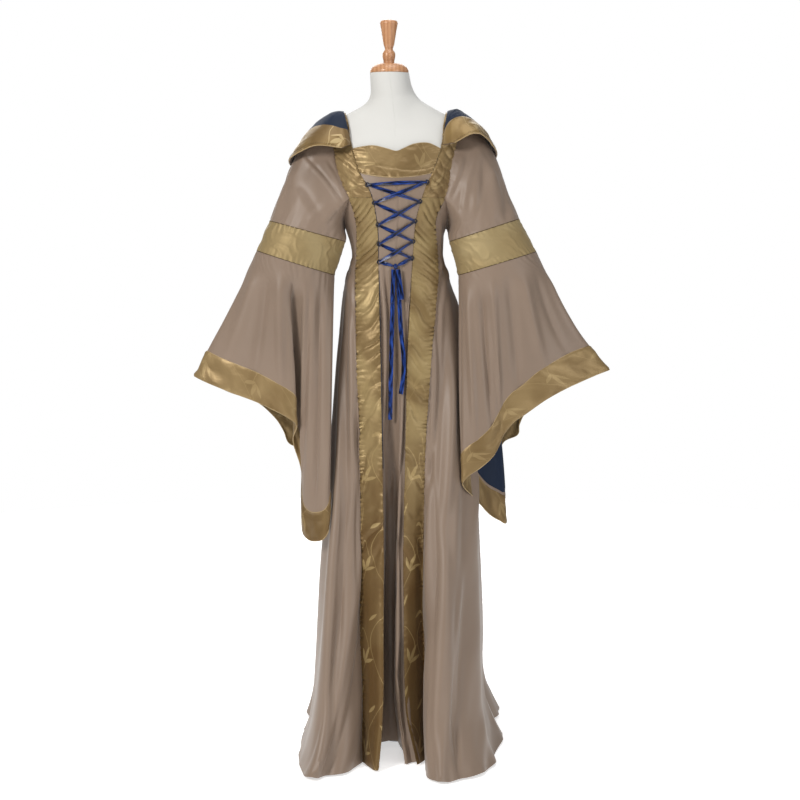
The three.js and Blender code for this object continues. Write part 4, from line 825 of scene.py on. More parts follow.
def tubes(name, paths, sides, radius, finish, sides_count=8, closed=False, strands=0, twist=0.0):
    """Round threads along paths; a strand count gives them a cord's twist."""
    vertices, faces = [], []
    turn = 2 * math.pi * np.arange(sides_count) / sides_count
    for path, side in zip(paths, sides):
        path = np.asarray(path, float)
        if closed:
            tangent = unit(np.roll(path, -1, axis=0) - np.roll(path, 1, axis=0))
        else:
            tangent = unit(np.gradient(path, axis=0))
        across = unit(np.cross(tangent, side))
        up = np.cross(across, tangent)
        s = np.arange(len(path))
        r = np.broadcast_to(radius, (sides_count, len(path)))
        if strands:
            r = r * (1 + STRAND_HEIGHT * np.cos(strands * (turn[:, None] - twist * s)))
        round_it = np.cos(turn)[:, None, None] * across + np.sin(turn)[:, None, None] * up
        grid = path + r[..., None] * round_it
        base = len(vertices)
        vertices.extend(grid.reshape(-1, 3).tolist())
        faces.extend([[base + k for k in face] for face in tube_faces(sides_count, len(path), closed)])
    return mesh_piece(name, vertices, faces, finish)


def piping(name, line, normal, lift, radius, finish, closed=False):
    """A thin corded edge sewn along a line of the cloth."""
    piece = tubes(name, [line + normal * lift], [normal], radius, finish, closed=closed)
    return piece


def stitch_row(line, normal, pitch, length, lift):
    """Short threads laid along a line, with the gaps of a running stitch."""
    steps = length_of(np.diff(line, axis=0))
    at = np.concatenate([[0], np.cumsum(steps)])
    starts = np.arange(pitch, at[-1] - pitch, pitch)
    paths, sides = [], []
    for start in starts:
        places = start + length * np.array([0.0, 0.2, 0.8, 1.0])
        p = np.stack([np.interp(places, at, line[:, k]) for k in range(3)], axis=1)
        n = np.stack([np.interp(places, at, normal[:, k]) for k in range(3)], axis=1)
        height = lift * np.array([0.1, 1.0, 1.0, 0.1])
        paths.append(p + n * height[:, None])
        sides.append(n)
    return paths, sides


def lathe(name, profile, centre, finish, segments=96):
    """A turned solid on a point, from its profile of radii and heights."""
    radius, height = np.asarray(profile, float).T
    turn = 2 * math.pi * np.arange(segments)[:, None] / segments
    grid = stack(centre[0] + radius * np.sin(turn), centre[1] - radius * np.cos(turn), centre[2] + height)
    return mesh_piece(name, grid.reshape(-1, 3), tube_faces(segments, len(radius)), finish, sharp_deg=40)


# Finishes. Colours are sRGB hex
def linear(hex_colour):
    channels = [int(hex_colour[k : k + 2], 16) / 255 for k in (1, 3, 5)]
    return tuple(c / 12.92 if c <= 0.04045 else ((c + 0.055) / 1.055) ** 2.4 for c in channels) + (1.0,)


def feed(tree, node, inputs):
    """Gives a node its inputs: a value, a hex colour, a socket, or a node, whose first output is meant."""
    for name, value in inputs.items():
        if isinstance(value, bpy.types.Node):
            value = value.outputs[0]
        if isinstance(value, bpy.types.NodeSocket):
            tree.links.new(value, node.inputs[name])
        else:
            node.inputs[name].default_value = linear(value) if isinstance(value, str) else value


def add(tree, kind, inputs=None, **settings):
    """A new node with its settings and links."""
    made = tree.nodes.new("ShaderNode" + kind)
    for name, value in settings.items():
        setattr(made, name, value)
    feed(tree, made, inputs or {})
    return made


def finish_of(name):
    """An empty material with its shader, ready for the nodes that feed it."""
    made = bpy.data.materials.new(name)
    made.use_nodes = True
    tree = made.node_tree
    return made, tree, tree.nodes["Principled BSDF"]


# One repeat of the leaf motif, 128 by 205 mm
LEAF_CELL = (0.128, 0.205)
# Where each leaf springs from, how it is turned, its length and width in mm
LEAVES = table(
    "across up turn long wide",
    (14, 22, 62, 40, 9), (14, 22, 100, 34, 8), (12, 20, 22, 36, 8), (-34, 70, 128, 38, 9),
    (-30, 74, 82, 40, 9), (30, 118, 40, 34, 8), (-6, 148, 110, 38, 9), (-4, 150, 66, 30, 7),
)
# Where each stem lies across the repeat, and at what point of its sway it starts
STEMS = ((0.004, 0.0), (0.058, 2.6))
STEM_SWAY = 0.024


def leaf_cover(tree, uv):
    """1 on the leaves and stems of the motif and 0 between them."""
    wander = add(tree, "TexNoise", {"Vector": uv, "Scale": 14.0, "Detail": 1.0}).outputs["Color"]
    wander = add(tree, "VectorMath", {0: wander, 1: (0.5, 0.5, 0.5)}, operation="SUBTRACT")
    wander = add(tree, "VectorMath", {0: wander, "Scale": 0.012}, operation="SCALE")
    place = add(tree, "VectorMath", {0: uv, 1: wander}, operation="ADD")
    half = (LEAF_CELL[0] / 2, LEAF_CELL[1] / 2, 1)
    cover = None
    for across, up, turn, long, wide in zip(*LEAVES.values()):
        angle = math.radians(turn)
        back = (-(across + long / 2 * math.cos(angle)) * MM, -(up + long / 2 * math.sin(angle)) * MM, 0)
        moved = add(tree, "VectorMath", {0: place, 1: back}, operation="ADD")
        cell = add(tree, "VectorMath", {0: moved, 1: half, 2: tuple(-h for h in half)}, operation="WRAP")
        turned = add(tree, "VectorRotate", {"Vector": cell, "Angle": -angle}, rotation_type="Z_AXIS")
        size = (2 / (long * MM), 2 / (wide * MM), 0)
        sized = add(tree, "VectorMath", {0: turned, 1: size}, operation="MULTIPLY")
        parts = add(tree, "SeparateXYZ", {0: sized}).outputs
        # A leaf's edge is a parabola, widest at its middle
        minus = add(tree, "Math", {0: parts[0], 1: -1.0}, operation="MULTIPLY")
        swell = add(tree, "Math", {0: parts[0], 1: minus, 2: 1.0}, operation="MULTIPLY_ADD")
        off = add(tree, "Math", {0: parts[1]}, operation="ABSOLUTE")
        inside = add(tree, "Math", {0: swell, 1: off}, operation="SUBTRACT")
        leaf = add(tree, "MapRange", {0: inside, 1: 0.0, 2: 0.14, 3: 0.0, 4: 1.0})
        cover = leaf if cover is None else add(tree, "Math", {0: cover, 1: leaf}, operation="MAXIMUM")
    parts = add(tree, "SeparateXYZ", {0: place}).outputs
    turns_per_metre = 2 * math.pi / LEAF_CELL[1]
    for offset, start in STEMS:
        turn = add(tree, "Math", {0: parts[1], 1: turns_per_metre, 2: start}, operation="MULTIPLY_ADD")
        wave = add(tree, "Math", {0: turn}, operation="SINE")
        sway = add(tree, "Math", {0: wave, 1: STEM_SWAY, 2: offset}, operation="MULTIPLY_ADD")
        gap = add(tree, "Math", {0: parts[0], 1: sway}, operation="SUBTRACT")
        gap = add(tree, "Math", {0: gap, 1: half[0], 2: -half[0]}, operation="WRAP")
        gap = add(tree, "Math", {0: gap}, operation="ABSOLUTE")
        stem = add(tree, "MapRange", {0: gap, 1: 0.0010, 2: 0.0005, 3: 0.0, 4: 0.9})
        cover = add(tree, "Math", {0: cover, 1: stem}, operation="MAXIMUM")
    return cover


def jacquard(name, motif_low, motif_high, dark, light, leaf, shine=0.6, rough_ground=0.4):
    """Satin jacquard: shiny leaves and stems woven on a duller ground of the same threads.

    motif_low and motif_high are how clearly the leaves show below and above the knee."""
    made, tree, shader = finish_of(name)
    uv = add(tree, "UVMap")
    place = add(tree, "TexCoord").outputs["Object"]
    height = add(tree, "SeparateXYZ", {0: place}).outputs[2]
    clear = add(tree, "MapRange", {0: height, 1: 0.92, 2: 0.66, 3: motif_high, 4: motif_low})
    cover = add(tree, "Math", {0: leaf_cover(tree, uv), 1: clear}, operation="MULTIPLY")
    # Painted sheen: the ground is lighter or darker in patches a hand wide, for the light the satin's long
    # floats catch as they lie one way or the other
    cloud = {"Vector": place, "Scale": 13.0, "Detail": 1.0, "Distortion": 0.4}
    patch = add(tree, "TexNoise", cloud).outputs["Fac"]
    patch = add(tree, "MapRange", {0: patch, 1: 0.38, 2: 0.64, 3: 0.0, 4: 1.0})
    patch = add(tree, "Math", {0: patch, 1: 0.6, 2: 0.4}, operation="MULTIPLY_ADD")
    # Painted shade: below 0.8 m the ground darkens, its share of the light colour falling to a quarter at 0.5
    # m and below
    fall = add(tree, "MapRange", {0: height, 1: 0.8, 2: 0.5, 3: 1.0, 4: 0.25})
    share = add(tree, "Math", {0: patch, 1: fall}, operation="MULTIPLY")
    ground = add(tree, "Mix", {"Factor": share, 6: dark, 7: light}, data_type="RGBA").outputs[2]
    colour = add(tree, "Mix", {"Factor": cover, 6: ground, 7: leaf}, data_type="RGBA").outputs[2]
    rough = add(tree, "MapRange", {0: cover, 1: 0.0, 2: 1.0, 3: rough_ground, 4: 0.31})
    # The real threads are 0.12 mm apart; they are drawn at 1.1 mm so that they show
    twill = {"Vector": uv, "Scale": 140.0, "Distortion": 0.6, "Detail": 1.0}
    thread = add(tree, "TexWave", twill, wave_type="BANDS", bands_direction="DIAGONAL").outputs["Fac"]
    fine = add(tree, "Bump", {"Height": thread, "Strength": 0.06, "Distance": 0.0002})
    # Handling leaves shallow dents 10 to 20 mm wide
    dents = {"Vector": place, "Scale": 42.0, "Detail": 2.0, "Distortion": 0.8}
    crush = add(tree, "TexNoise", dents).outputs["Fac"]
    soft = add(tree, "Bump", {"Height": crush, "Strength": 0.22, "Distance": 0.004, "Normal": fine})
    woven = add(tree, "Bump", {"Height": cover, "Strength": 0.4, "Distance": 0.0003, "Normal": soft})
    feed(tree, shader, {"Base Color": colour, "Roughness": rough, "Normal": woven})
    # Those floats mirror part of the light in the thread's own colour
    shader.inputs["Metallic"].default_value = 0.2
    shader.inputs["Specular IOR Level"].default_value = shine
    shader.inputs["Specular Tint"].default_value = linear("#f0e0be")
    shader.inputs["Sheen Weight"].default_value = 0.1
    shader.inputs["Sheen Roughness"].default_value = 0.4
    return made


# The wave pattern's scale for threads 1 mm apart
WAVES_PER_MM = 155


def plain_cloth(name, dark, light, rough, sheen, thread_mm, crumple, specular=0.4, painted_highlight_streaks=False):
    """A plain woven cloth: slight clouds of colour, a fine twill of threads and shallow crumpling.

    The real threads are 0.1 to 0.2 mm apart; thread_mm is coarser so that they show."""
    made, tree, shader = finish_of(name)
    uv = add(tree, "UVMap")
    place = add(tree, "TexCoord").outputs["Object"]
    if painted_highlight_streaks:
        # Painted highlights: bright streaks 5 to 15 mm long along the ribbon, for the light its floats catch,
        # with painted shade between them
        drawn = add(tree, "VectorMath", {0: uv, 1: (6.0, 1.0, 1.0)}, operation="MULTIPLY")
        cloud = add(tree, "TexNoise", {"Vector": drawn, "Scale": 34.0, "Detail": 2.0}).outputs["Fac"]
        cloud = add(tree, "MapRange", {0: cloud, 1: 0.4, 2: 0.66, 3: 0.0, 4: 1.0})
    else:
        cloud = add(tree, "TexNoise", {"Vector": place, "Scale": 5.0, "Detail": 3.0}).outputs["Fac"]
    colour = add(tree, "Mix", {"Factor": cloud, 6: dark, 7: light}, data_type="RGBA").outputs[2]
    patch = add(tree, "MapRange", {0: cloud, 1: 0.3, 2: 0.7, 3: rough - 0.04, 4: rough + 0.05})
    twill = {"Vector": uv, "Scale": WAVES_PER_MM / thread_mm, "Distortion": 0.5}
    thread = add(tree, "TexWave", twill, wave_type="BANDS", bands_direction="DIAGONAL").outputs["Fac"]
    fine = add(tree, "Bump", {"Height": thread, "Strength": 0.15, "Distance": 0.0002})
    dents = {"Vector": place, "Scale": 22.0, "Detail": 3.0, "Distortion": 0.5}
    crush = add(tree, "TexNoise", dents).outputs["Fac"]
    soft = add(tree, "Bump", {"Height": crush, "Strength": crumple, "Distance": 0.004, "Normal": fine})
    feed(tree, shader, {"Base Color": colour, "Roughness": patch, "Normal": soft})
    shader.inputs["Specular IOR Level"].default_value = specular
    shader.inputs["Sheen Weight"].default_value = sheen
    shader.inputs["Sheen Roughness"].default_value = 0.45
    return made


def beech():
    """Turned beech under clear lacquer: fine grain along the turning and a soft shine."""
    made, tree, shader = finish_of("lacquered_beech")
    place = add(tree, "TexCoord").outputs["Object"]
    drawn = add(tree, "VectorMath", {0: place, 1: (1.0, 1.0, 0.09)}, operation="MULTIPLY")
    # Rays and pores of beech are 0.5 to 2 mm wide
    pores = {"Vector": drawn, "Scale": 420.0, "Detail": 4.0, "Distortion": 0.6}
    grain = add(tree, "TexNoise", pores).outputs["Fac"]
    rings = {"Vector": drawn, "Scale": 36.0, "Distortion": 3.0, "Detail": 2.0}
    year = add(tree, "TexWave", rings).outputs["Fac"]
    share = add(tree, "Math", {0: grain, 1: 0.6}, operation="MULTIPLY")
    share = add(tree, "Math", {0: year, 1: 0.5, 2: share}, operation="MULTIPLY_ADD")
    colour = add(tree, "Mix", {"Factor": share, 6: "#9b6741", 7: "#c5946c"}, data_type="RGBA").outputs[2]
    bump = add(tree, "Bump", {"Height": grain, "Strength": 0.1, "Distance": 0.0002})
    feed(tree, shader, {"Base Color": colour, "Normal": bump})
    shader.inputs["Roughness"].default_value = 0.38
    shader.inputs["Coat Weight"].default_value = 0.25
    shader.inputs["Coat Roughness"].default_value = 0.2
    return made


def brushed_steel():
    """Brushed steel of the stand: fine lines that dull its shine."""
    made, tree, shader = finish_of("brushed_steel")
    place = add(tree, "TexCoord").outputs["Object"]
    drawn = add(tree, "VectorMath", {0: place, 1: (1.0, 1.0, 0.02)}, operation="MULTIPLY")
    # The brush's lines are about 1 mm apart here; the real ones are finer
    lines = add(tree, "TexNoise", {"Vector": drawn, "Scale": 900.0, "Detail": 3.0}).outputs["Fac"]
    rough = add(tree, "MapRange", {0: lines, 1: 0.3, 2: 0.7, 3: 0.26, 4: 0.42})
    colour = add(tree, "Mix", {"Factor": lines, 6: "#8b8d90", 7: "#a4a6a9"}, data_type="RGBA").outputs[2]
    bump = add(tree, "Bump", {"Height": lines, "Strength": 0.1, "Distance": 0.0001})
    feed(tree, shader, {"Base Color": colour, "Roughness": rough, "Normal": bump})
    shader.inputs["Metallic"].default_value = 1.0
    return made


# Polyester satin with a soft finish: a broad, low shine on each fold, and no mirror spots
TAUPE = plain_cloth("taupe_satin", "#776658", "#857262", 0.46, 0.14, 0.9, 0.08)
# The strips: satin floats give bright folds, and the woven leaves show from the knee down. In all four
# jacquards the ground is the cloth's own gold-brown, mixed between its dark and light colours as painted
# sheen in patches and painted shade below 0.8 m
GOLD = jacquard("gold_jacquard_satin", 0.9, 0.1, "#583f20", "#8f7b54", "#9a845a")
# The straps, yoke and cuff borders: the same cloth, whose creases break up the motif
GOLD_SOFT = jacquard("gold_jacquard_soft", 0.35, 0.35, "#614a2a", "#8a7450", "#a89268")
# The hood's facing: it lies smooth, so pale leaves stand out on a dark ground
GOLD_LEAFY = jacquard("gold_jacquard_leafy", 0.85, 0.85, "#5c4529", "#80683f", "#ab966d")
# The elbow bands: pulled flat, they look pale and even, with hardly a leaf
GOLD_LIGHT = jacquard("gold_jacquard_light", 0.08, 0.08, "#85714d", "#978662", "#9c8a64", 0.35, 0.52)
# Matt cotton twill dyed so dark that only its turned edges show blue
NAVY = plain_cloth("navy_lining_twill", "#0e1726", "#182740", 0.6, 0.02, 0.8, 0.12, specular=0.2)
# Satin ribbon: painted highlights of bright blue and painted shade of almost black, in streaks along it
RIBBON = plain_cloth("blue_ribbon_satin", "#02040f", "#1f418f", 0.32, 0.0, 0.5, 0.3, 0.3, painted_highlight_streaks=True)
# Braided cotton cord: matt, its strands seen by their shadows
CORD = plain_cloth("navy_loop_cord", "#10131f", "#1d2233", 0.7, 0.1, 0.6, 0.1)
# Cotton jersey pulled tight: pale, with a soft bloom and no shine
COVER = plain_cloth("cotton_jersey_cover", "#c3c2be", "#cccbc7", 0.85, 0.2, 0.8, 0.05, specular=0.2)
# Satin folded round a cord: one narrow line of light along it
PIPING = plain_cloth("gold_satin_piping", "#8a7148", "#a18a5f", 0.4, 0.1, 0.5, 0.05, specular=0.6)
# Spun sewing threads: duller than their cloth, and darker as painted shade, for where they sink into it
TAUPE_THREAD = plain_cloth("taupe_thread", "#6f6052", "#7d6d5e", 0.6, 0.1, 0.4, 0.05)
GOLD_THREAD = plain_cloth("gold_thread", "#33250f", "#4a3717", 0.55, 0.05, 0.4, 0.05)
BEECH = beech()
STEEL = brushed_steel()


# Camera, floor and light
EYE = (0.009, -4.0, 1.25)
EYE_DOWN_DEG = 6.42
# The share of the white surroundings' light that falls on the object
AIR = 0.23
LAMP_AIM = Vector((0, 0, 0.95))
# Name, place in metres, size in metres, power in watts and colour of each soft lamp
LAMPS = (
    ("key_softbox", (-2.5, -3.0, 2.8), 1.0, 122, (1.0, 0.985, 0.96)),
    ("fill_softbox", (2.7, -2.6, 1.7), 1.5, 34, (0.97, 0.985, 1.0)),
    ("top_softbox", (0.2, -0.4, 3.6), 1.6, 34, (1.0, 1.0, 1.0)),
    ("back_softbox", (-0.4, 3.4, 3.0), 3.0, 84, (1.0, 1.0, 1.0)),
)
FLOOR_RADIUS = 3.4
FLOOR_SIDES = 96


def look():
    camera = bpy.data.cameras.new("camera")
    camera.lens = 78.75
    camera.sensor_width = 36
    camera.clip_end = 60
    eye = bpy.data.objects.new("camera", camera)
    eye.location = EYE
    eye.rotation_euler = (math.radians(90 - EYE_DOWN_DEG), 0, 0)
    bpy.context.scene.collection.objects.link(eye)
    bpy.context.scene.camera = eye


def studio():
    scene = bpy.context.scene
    scene.view_settings.view_transform = "Standard"
    world = bpy.data.worlds.new("studio_air")
    world.use_nodes = True
    scene.world = world
    tree = world.node_tree
    # The white sweep behind the object is seen at full strength, and its light on the cloth is weaker
    seen = add(tree, "LightPath").outputs["Is Camera Ray"]
    strength = add(tree, "Math", {0: seen, 1: AIR}, operation="MAXIMUM")
    feed(tree, tree.nodes["Background"], {"Color": "#ffffff", "Strength": strength})
    for name, place, size, power, colour in LAMPS:
        light = bpy.data.lights.new(name, "AREA")
        light.shape = "SQUARE"
        light.size = size
        light.energy = power
        light.color = colour
        lamp = bpy.data.objects.new(name, light)
        lamp.location = place
        lamp.rotation_euler = (LAMP_AIM - Vector(place)).to_track_quat("-Z", "Y").to_euler()
        scene.collection.objects.link(lamp)
    mesh = bpy.data.meshes.new("floor")
    rim = 2 * math.pi * np.arange(FLOOR_SIDES) / FLOOR_SIDES
    corners = stack(FLOOR_RADIUS * np.cos(rim), FLOOR_RADIUS * np.sin(rim), 0)
    mesh.from_pydata(corners.tolist(), [], [list(range(FLOOR_SIDES))])
    floor = bpy.data.objects.new("floor", mesh)
    floor.location.z = -0.0005
    # Matt white paint, lit so evenly that the floor runs into the background
    made, tree, shader = finish_of("pale_studio_floor")
    place = add(tree, "TexCoord").outputs["Object"]
    mottle = add(tree, "TexNoise", {"Vector": place, "Scale": 2.0}).outputs["Fac"]
    paint = add(tree, "Mix", {"Factor": mottle, 6: "#fafafa", 7: "#ffffff"}, data_type="RGBA").outputs[2]
    feed(tree, shader, {"Base Color": paint})
    shader.inputs["Roughness"].default_value = 0.9
    shader.inputs["Specular IOR Level"].default_value = 0.1
    shader.inputs["Emission Color"].default_value = (1, 1, 1, 1)
    shader.inputs["Emission Strength"].default_value = 0.55
    mesh.materials.append(made)
    scene.collection.objects.link(floor)


# The blue ribbon: a flat satin tape along places in front of the centre panel
def front_place(x, z, lift):
    x, z, lift = (np.atleast_1d(np.asarray(v, float)) for v in (x, z, lift))
    x, z, lift = np.broadcast_arrays(x, z, lift)
    turns = np.linspace(2.2, 4.8, 105)
    found = trunk_point(turns[None, :], z[:, None])[..., 0]
    turn = np.array([np.interp(here, line, turns) for here, line in zip(x, found)])
    normal = trunk_normal(turn, z)
    return trunk_point(turn, z) + normal * (CLOTH + lift)[:, None], normal


# How far a drawn ribbon rolls each way along its length, in radians
TAPE_ROLL = 0.42


def tape(name, path, normal, curl=0.2, node=None, drawn=False):
    """The ribbon's body: eight strips wide, with its selvedges curled a little, and drawn in at the loops."""
    tangent = unit(np.gradient(path, axis=0))
    across = unit(np.cross(tangent, normal))
    out = unit(np.cross(across, tangent))
    if drawn:
        roll = TAPE_ROLL * np.sin(np.linspace(0, 2 * math.pi, len(path)))[:, None]
        rolled = across * np.cos(roll) + out * np.sin(roll)
        out = out * np.cos(roll) - across * np.sin(roll)
        across = rolled
    s = np.linspace(-0.5, 0.5, 9)
    share = np.sin(np.linspace(0, math.pi, len(path))) if drawn else np.ones(len(path))
    width = RIBBON_WIDTH * (0.38 + 0.52 * np.maximum(share, 0) ** 0.7 if drawn else share)
    grid = path[None] + across[None] * (s[:, None] * width)[..., None]
    grid = grid + out[None] * (curl * (4 * s * s - 0.4))[:, None, None]
    piece = cloth_wall(name, grid, -RIBBON_THICK / 2, RIBBON_THICK / 2, RIBBON)
    if node:
        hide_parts(node)
    return piece


def hanging(rows, steps=44):
    z = np.linspace(rows["z"][-1], rows["z"][0], steps)
    return front_place(column(rows, "z", "x", z), z, column(rows, "z", "lift", z))


def hang_tails():
    for side, rows, length in (("right", TAIL_RIGHT, 0.335), ("left", TAIL_LEFT, 0.278)):
        path, normal = hanging(rows)
        node = "lace_end_" + side
        piece = tape(node + "_ribbon", path, normal, node=node)


def loop_place(side_name, k):
    z = LOOP_ROWS[side_name.lower()][k]
    toward = 1 if side_name == "Right" else -1
    return seam_x("inner" + side_name, z) + toward * LOOP_RADIUS * 0.4, z


def lace_path(start, end, lift, end_gap):
    reach = math.hypot(end[0] - start[0], end[1] - start[1])
    t = np.linspace(LACE_GAP / reach, 1 - end_gap / reach, 33)
    return front_place(mix(start[0], end[0], t), mix(start[1], end[1], t), lift)


def lace_front():
    count = len(LOOP_ROWS["lift"])
    places = [(loop_place("Right", k), loop_place("Left", k)) for k in range(count)]
    turn = 2 * math.pi * np.arange(30) / 30
    for k in range(count):
        for side, place in zip(("right", "left"), places[k]):
            centre, normal = front_place(place[0], place[1], LOOP_ROWS["lift"][k])
            centre, normal = centre[0], normal[0]
            across = unit(np.cross(np.array([0.0, 0.0, 1.0]), normal))
            up = np.cross(normal, across)
            ring = centre + LOOP_RADIUS * (np.cos(turn)[:, None] * across * 0.92 + np.sin(turn)[:, None] * up)
            node = f"lace_loop_{side}_{k + 1}"
            sides = np.tile(normal, (len(turn), 1))
            piece = tubes(node + "_cord", [ring], [sides], LOOP_THICK, CORD, 12, True, strands=2, twist=0.42)
            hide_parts(node)
    # Each length of the lacing: its node, ends, height over the panel, curl and gap at its end
    lengths = [("lace_top", places[0][0], places[0][1], LACE_TOP, 0.25, LACE_GAP)]
    for k in range(count - 1):
        upper, lower = places[k], places[k + 1]
        lengths.append((f"lace_under_{k + 1}", upper[0], lower[1], LACE_LOW, 0.1, LACE_GAP))
        lengths.append((f"lace_over_{k + 1}", upper[1], lower[0], LACE_HIGH, 0.22, LACE_GAP))
    right, left = places[-1]
    lengths.append(("lace_to_knot_right", right, KNOT, LACE_LOW, 0.1, KNOT_END_GAP))
    lengths.append(("lace_to_knot_left", left, KNOT, LACE_HIGH, 0.2, KNOT_END_GAP))
    for node, start, end, lift, curl, end_gap in lengths:
        tape(node + "_ribbon", *lace_path(start, end, lift, end_gap), node=node, curl=curl, drawn=True)


def loop_tape_and_painted_shadow():
    """The edge of the navy tape that carries the loops, which shows in the right seam of the centre panel.
    Below the loops the same dark cord is painted shadow, laid in the gap between the strip and the panel.
    """
    for part, top, bottom in (("upper", 1298, 1128), ("lower", 1100, 660)):
        z = np.linspace(top, bottom, 60)
        path, normal = front_place(seam_x("innerRight", z) + 0.6, z, -0.6)
        # The lower length, from 1100 mm down to 660 mm, is painted shadow in the seam's gap
        piece = tubes(f"loop_tape_and_painted_shadow_{part}_edge", [path], [normal], 0.95, CORD, 8)


def tie_knot():
    """The knot: a small pillow of wrapped satin with folds running over it."""
    centre, _ = front_place(KNOT[0], KNOT[1], KNOT_LIFT)
    centre = centre[0]
    around, up = 40, 28
    a = 2 * math.pi * np.arange(around)[:, None] / around
    b = math.pi * (np.linspace(0.03, 0.97, up)[None, :] - 0.5)
    fold = 1 + 0.07 * np.sin(5 * b + 1.4 * np.cos(a)) + 0.03 * np.sin(3 * a)
    square = 0.94 + 0.1 * np.abs(np.sin(2 * a)) * np.cos(b)
    grid = stack(
        centre[0] + KNOT_RADII[0] * fold * square * np.cos(b) * np.sin(a),
        centre[1] - KNOT_RADII[1] * fold * square * np.cos(b) * np.cos(a),
        centre[2] + KNOT_RADII[2] * np.sin(b) * (1 + 0 * a),
    )
    piece = mesh_piece("lace_knot_satin", grid.reshape(-1, 3), tube_faces(around, up), RIBBON)
    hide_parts("lace_knot")


def bow_loops():
    depth = 2.6
    for side, loop in BOW_LOOPS.items():
        t = np.linspace(0, 1, 26)
        x, z = mix(loop["top"][0], loop["bottom"][0], t), mix(loop["top"][1], loop["bottom"][1], t)
        swell = 0.9 * np.sin(math.pi * t) ** 2
        front, front_normal = front_place(x, z, loop["lift"] + depth / 2 + swell)
        back, back_normal = front_place(x, z, loop["lift"] - depth / 2 - 0.4 * swell)
        turned, _ = front_place(x[-1:], z[-1:] - 2, loop["lift"])
        path = np.concatenate([front, turned, back[::-1]])
        normal = np.concatenate([front_normal, [[0, 0, -1.0]], -back_normal[::-1]])
        tape(f"lace_bow_{side}_ribbon", path, normal, curl=0.15, node="lace_bow_" + side)


# The gown's body
FOLDS = {
    "back_right": table(
        "top z_top bottom z_bottom wide high",
        (0.10, 1120, 0.06, 4, 22, 5), (0.26, 1080, 0.22, 4, 30, -5), (0.40, 1130, 0.38, 4, 26, 6),
        (0.55, 1060, 0.56, 4, 30, -6), (0.68, 1120, 0.72, 4, 24, 5), (0.84, 1090, 0.88, 4, 28, -5),
        (0.30, 1290, 0.24, 1190, 9, 1.6), (0.62, 1270, 0.70, 1160, 10, -1.6),
    ),
    "back_left": table(
        "top z_top bottom z_bottom wide high",
        (0.14, 1110, 0.12, 4, 26, -5), (0.30, 1090, 0.28, 4, 24, 5), (0.44, 1130, 0.46, 4, 28, -6),
        (0.60, 1070, 0.62, 4, 24, 6), (0.75, 1120, 0.79, 4, 30, -5), (0.90, 1100, 0.93, 4, 20, 4),
        (0.40, 1280, 0.34, 1180, 9, -1.6), (0.72, 1290, 0.78, 1170, 10, 1.6),
    ),
    "side_front_right": table(
        "top z_top bottom z_bottom wide high",
        (0.16, 1090, 0.20, 4, 20, 4), (0.34, 1130, 0.33, 120, 22, -4), (0.52, 1070, 0.50, 4, 18, 4),
        (0.70, 1110, 0.66, 200, 14, -3.5), (0.86, 1120, 0.83, 300, 10, 2.2),
        (0.60, 900, 0.62, 330, 12, 2), (0.22, 1185, 0.42, 1060, 8, -1.8),
        (0.46, 1215, 0.62, 1100, 7, 1.6), (0.7, 1190, 0.82, 1090, 7, -1.5),
    ),
    "side_front_left": table(
        "top z_top bottom z_bottom wide high",
        (0.12, 1110, 0.16, 300, 11, 2.4), (0.26, 1120, 0.30, 4, 16, -4),
        (0.44, 1080, 0.46, 4, 20, 4.5), (0.60, 1130, 0.64, 60, 22, -4.5), (0.78, 1090, 0.80, 4, 24, 5),
        (0.36, 880, 0.38, 260, 12, 2), (0.30, 1200, 0.18, 1080, 7, 1.6),
        (0.52, 1210, 0.38, 1070, 8, -1.8), (0.76, 1190, 0.58, 1060, 8, 1.6),
    ),
    "front_centre": table(
        "top z_top bottom z_bottom wide high",
        (0.30, 1090, 0.34, 420, 8, -3.2), (0.52, 1060, 0.50, 380, 9, -4),
        (0.72, 1080, 0.68, 430, 8, -3.4), (0.42, 960, 0.44, 500, 6, -1.8),
        (0.6, 980, 0.6, 520, 6, -1.8),
    ),
}


def skirt_relief(seed, name, points, share, height):
    across, along = spans(points)
    width = across[-1][None, :]
    z = points[..., 2]
    place = share * width
    relief = 1.7 * furrows(FOLDS[name], share, z, width)
    # Uneven folds fall from the hip, some 60 mm and some 24 mm wide
    fall = ease((1080 - z) / 420)
    relief += fall * 8 * noise(seed + 51, place / 62, z / 1300, 1)
    relief += fall * 2 * noise(seed + 53, place / 24, z / 700, 1)
    if name in CREASES:
        relief += creases(CREASES[name], points)
    relief += height * noise(seed, place / 70, z / 260, 2)
    # The hem's stitching gathers its edge a little and leaves a faint ridge over it
    relief += puckers(seed + 11, across, along, 17, 16, 0.5)
    return relief + 0.25 * np.cos(along / 16 * math.pi) * np.exp(-np.maximum(z - HEM_Z, 0) / 22)


CREASES = {
    "side_front_right": table(
        "x z x_end z_end wide high",
        (-104, 1215, -98, 1120, 4, -2.2), (-112, 1190, -92, 1090, 5, 2.0),
        (-98, 1100, -84, 1010, 6, -2.2), (-118, 1120, -100, 1030, 6, 1.8),
        (-96, 1000, -88, 700, 6, -4.5), (-88, 760, -84, 320, 6, -5),
    ),
    "side_front_left": table(
        "x z x_end z_end wide high",
        (106, 1215, 100, 1120, 4, -2.2), (114, 1190, 96, 1090, 5, 2.0), (102, 1100, 96, 1000, 6, -2.4),
        (122, 1120, 108, 1030, 6, 1.8), (92, 1010, 76, 640, 6, -5.5), (76, 700, 70, 260, 7, -6),
        (128, 980, 118, 520, 9, -5), (112, 560, 108, 120, 10, -5),
    ),
    "front_centre": table(
        "x z x_end z_end wide high",
        (3, 1300, 0, 1130, 3, -1.6), (-30, 1290, -20, 1190, 4, -1.2), (34, 1290, 22, 1180, 4, -1.2),
        (-24, 1090, -22, 700, 5, -6), (14, 1080, 8, 620, 4, -5), (-8, 1060, -10, 560, 4, -3.4),
    ),
}


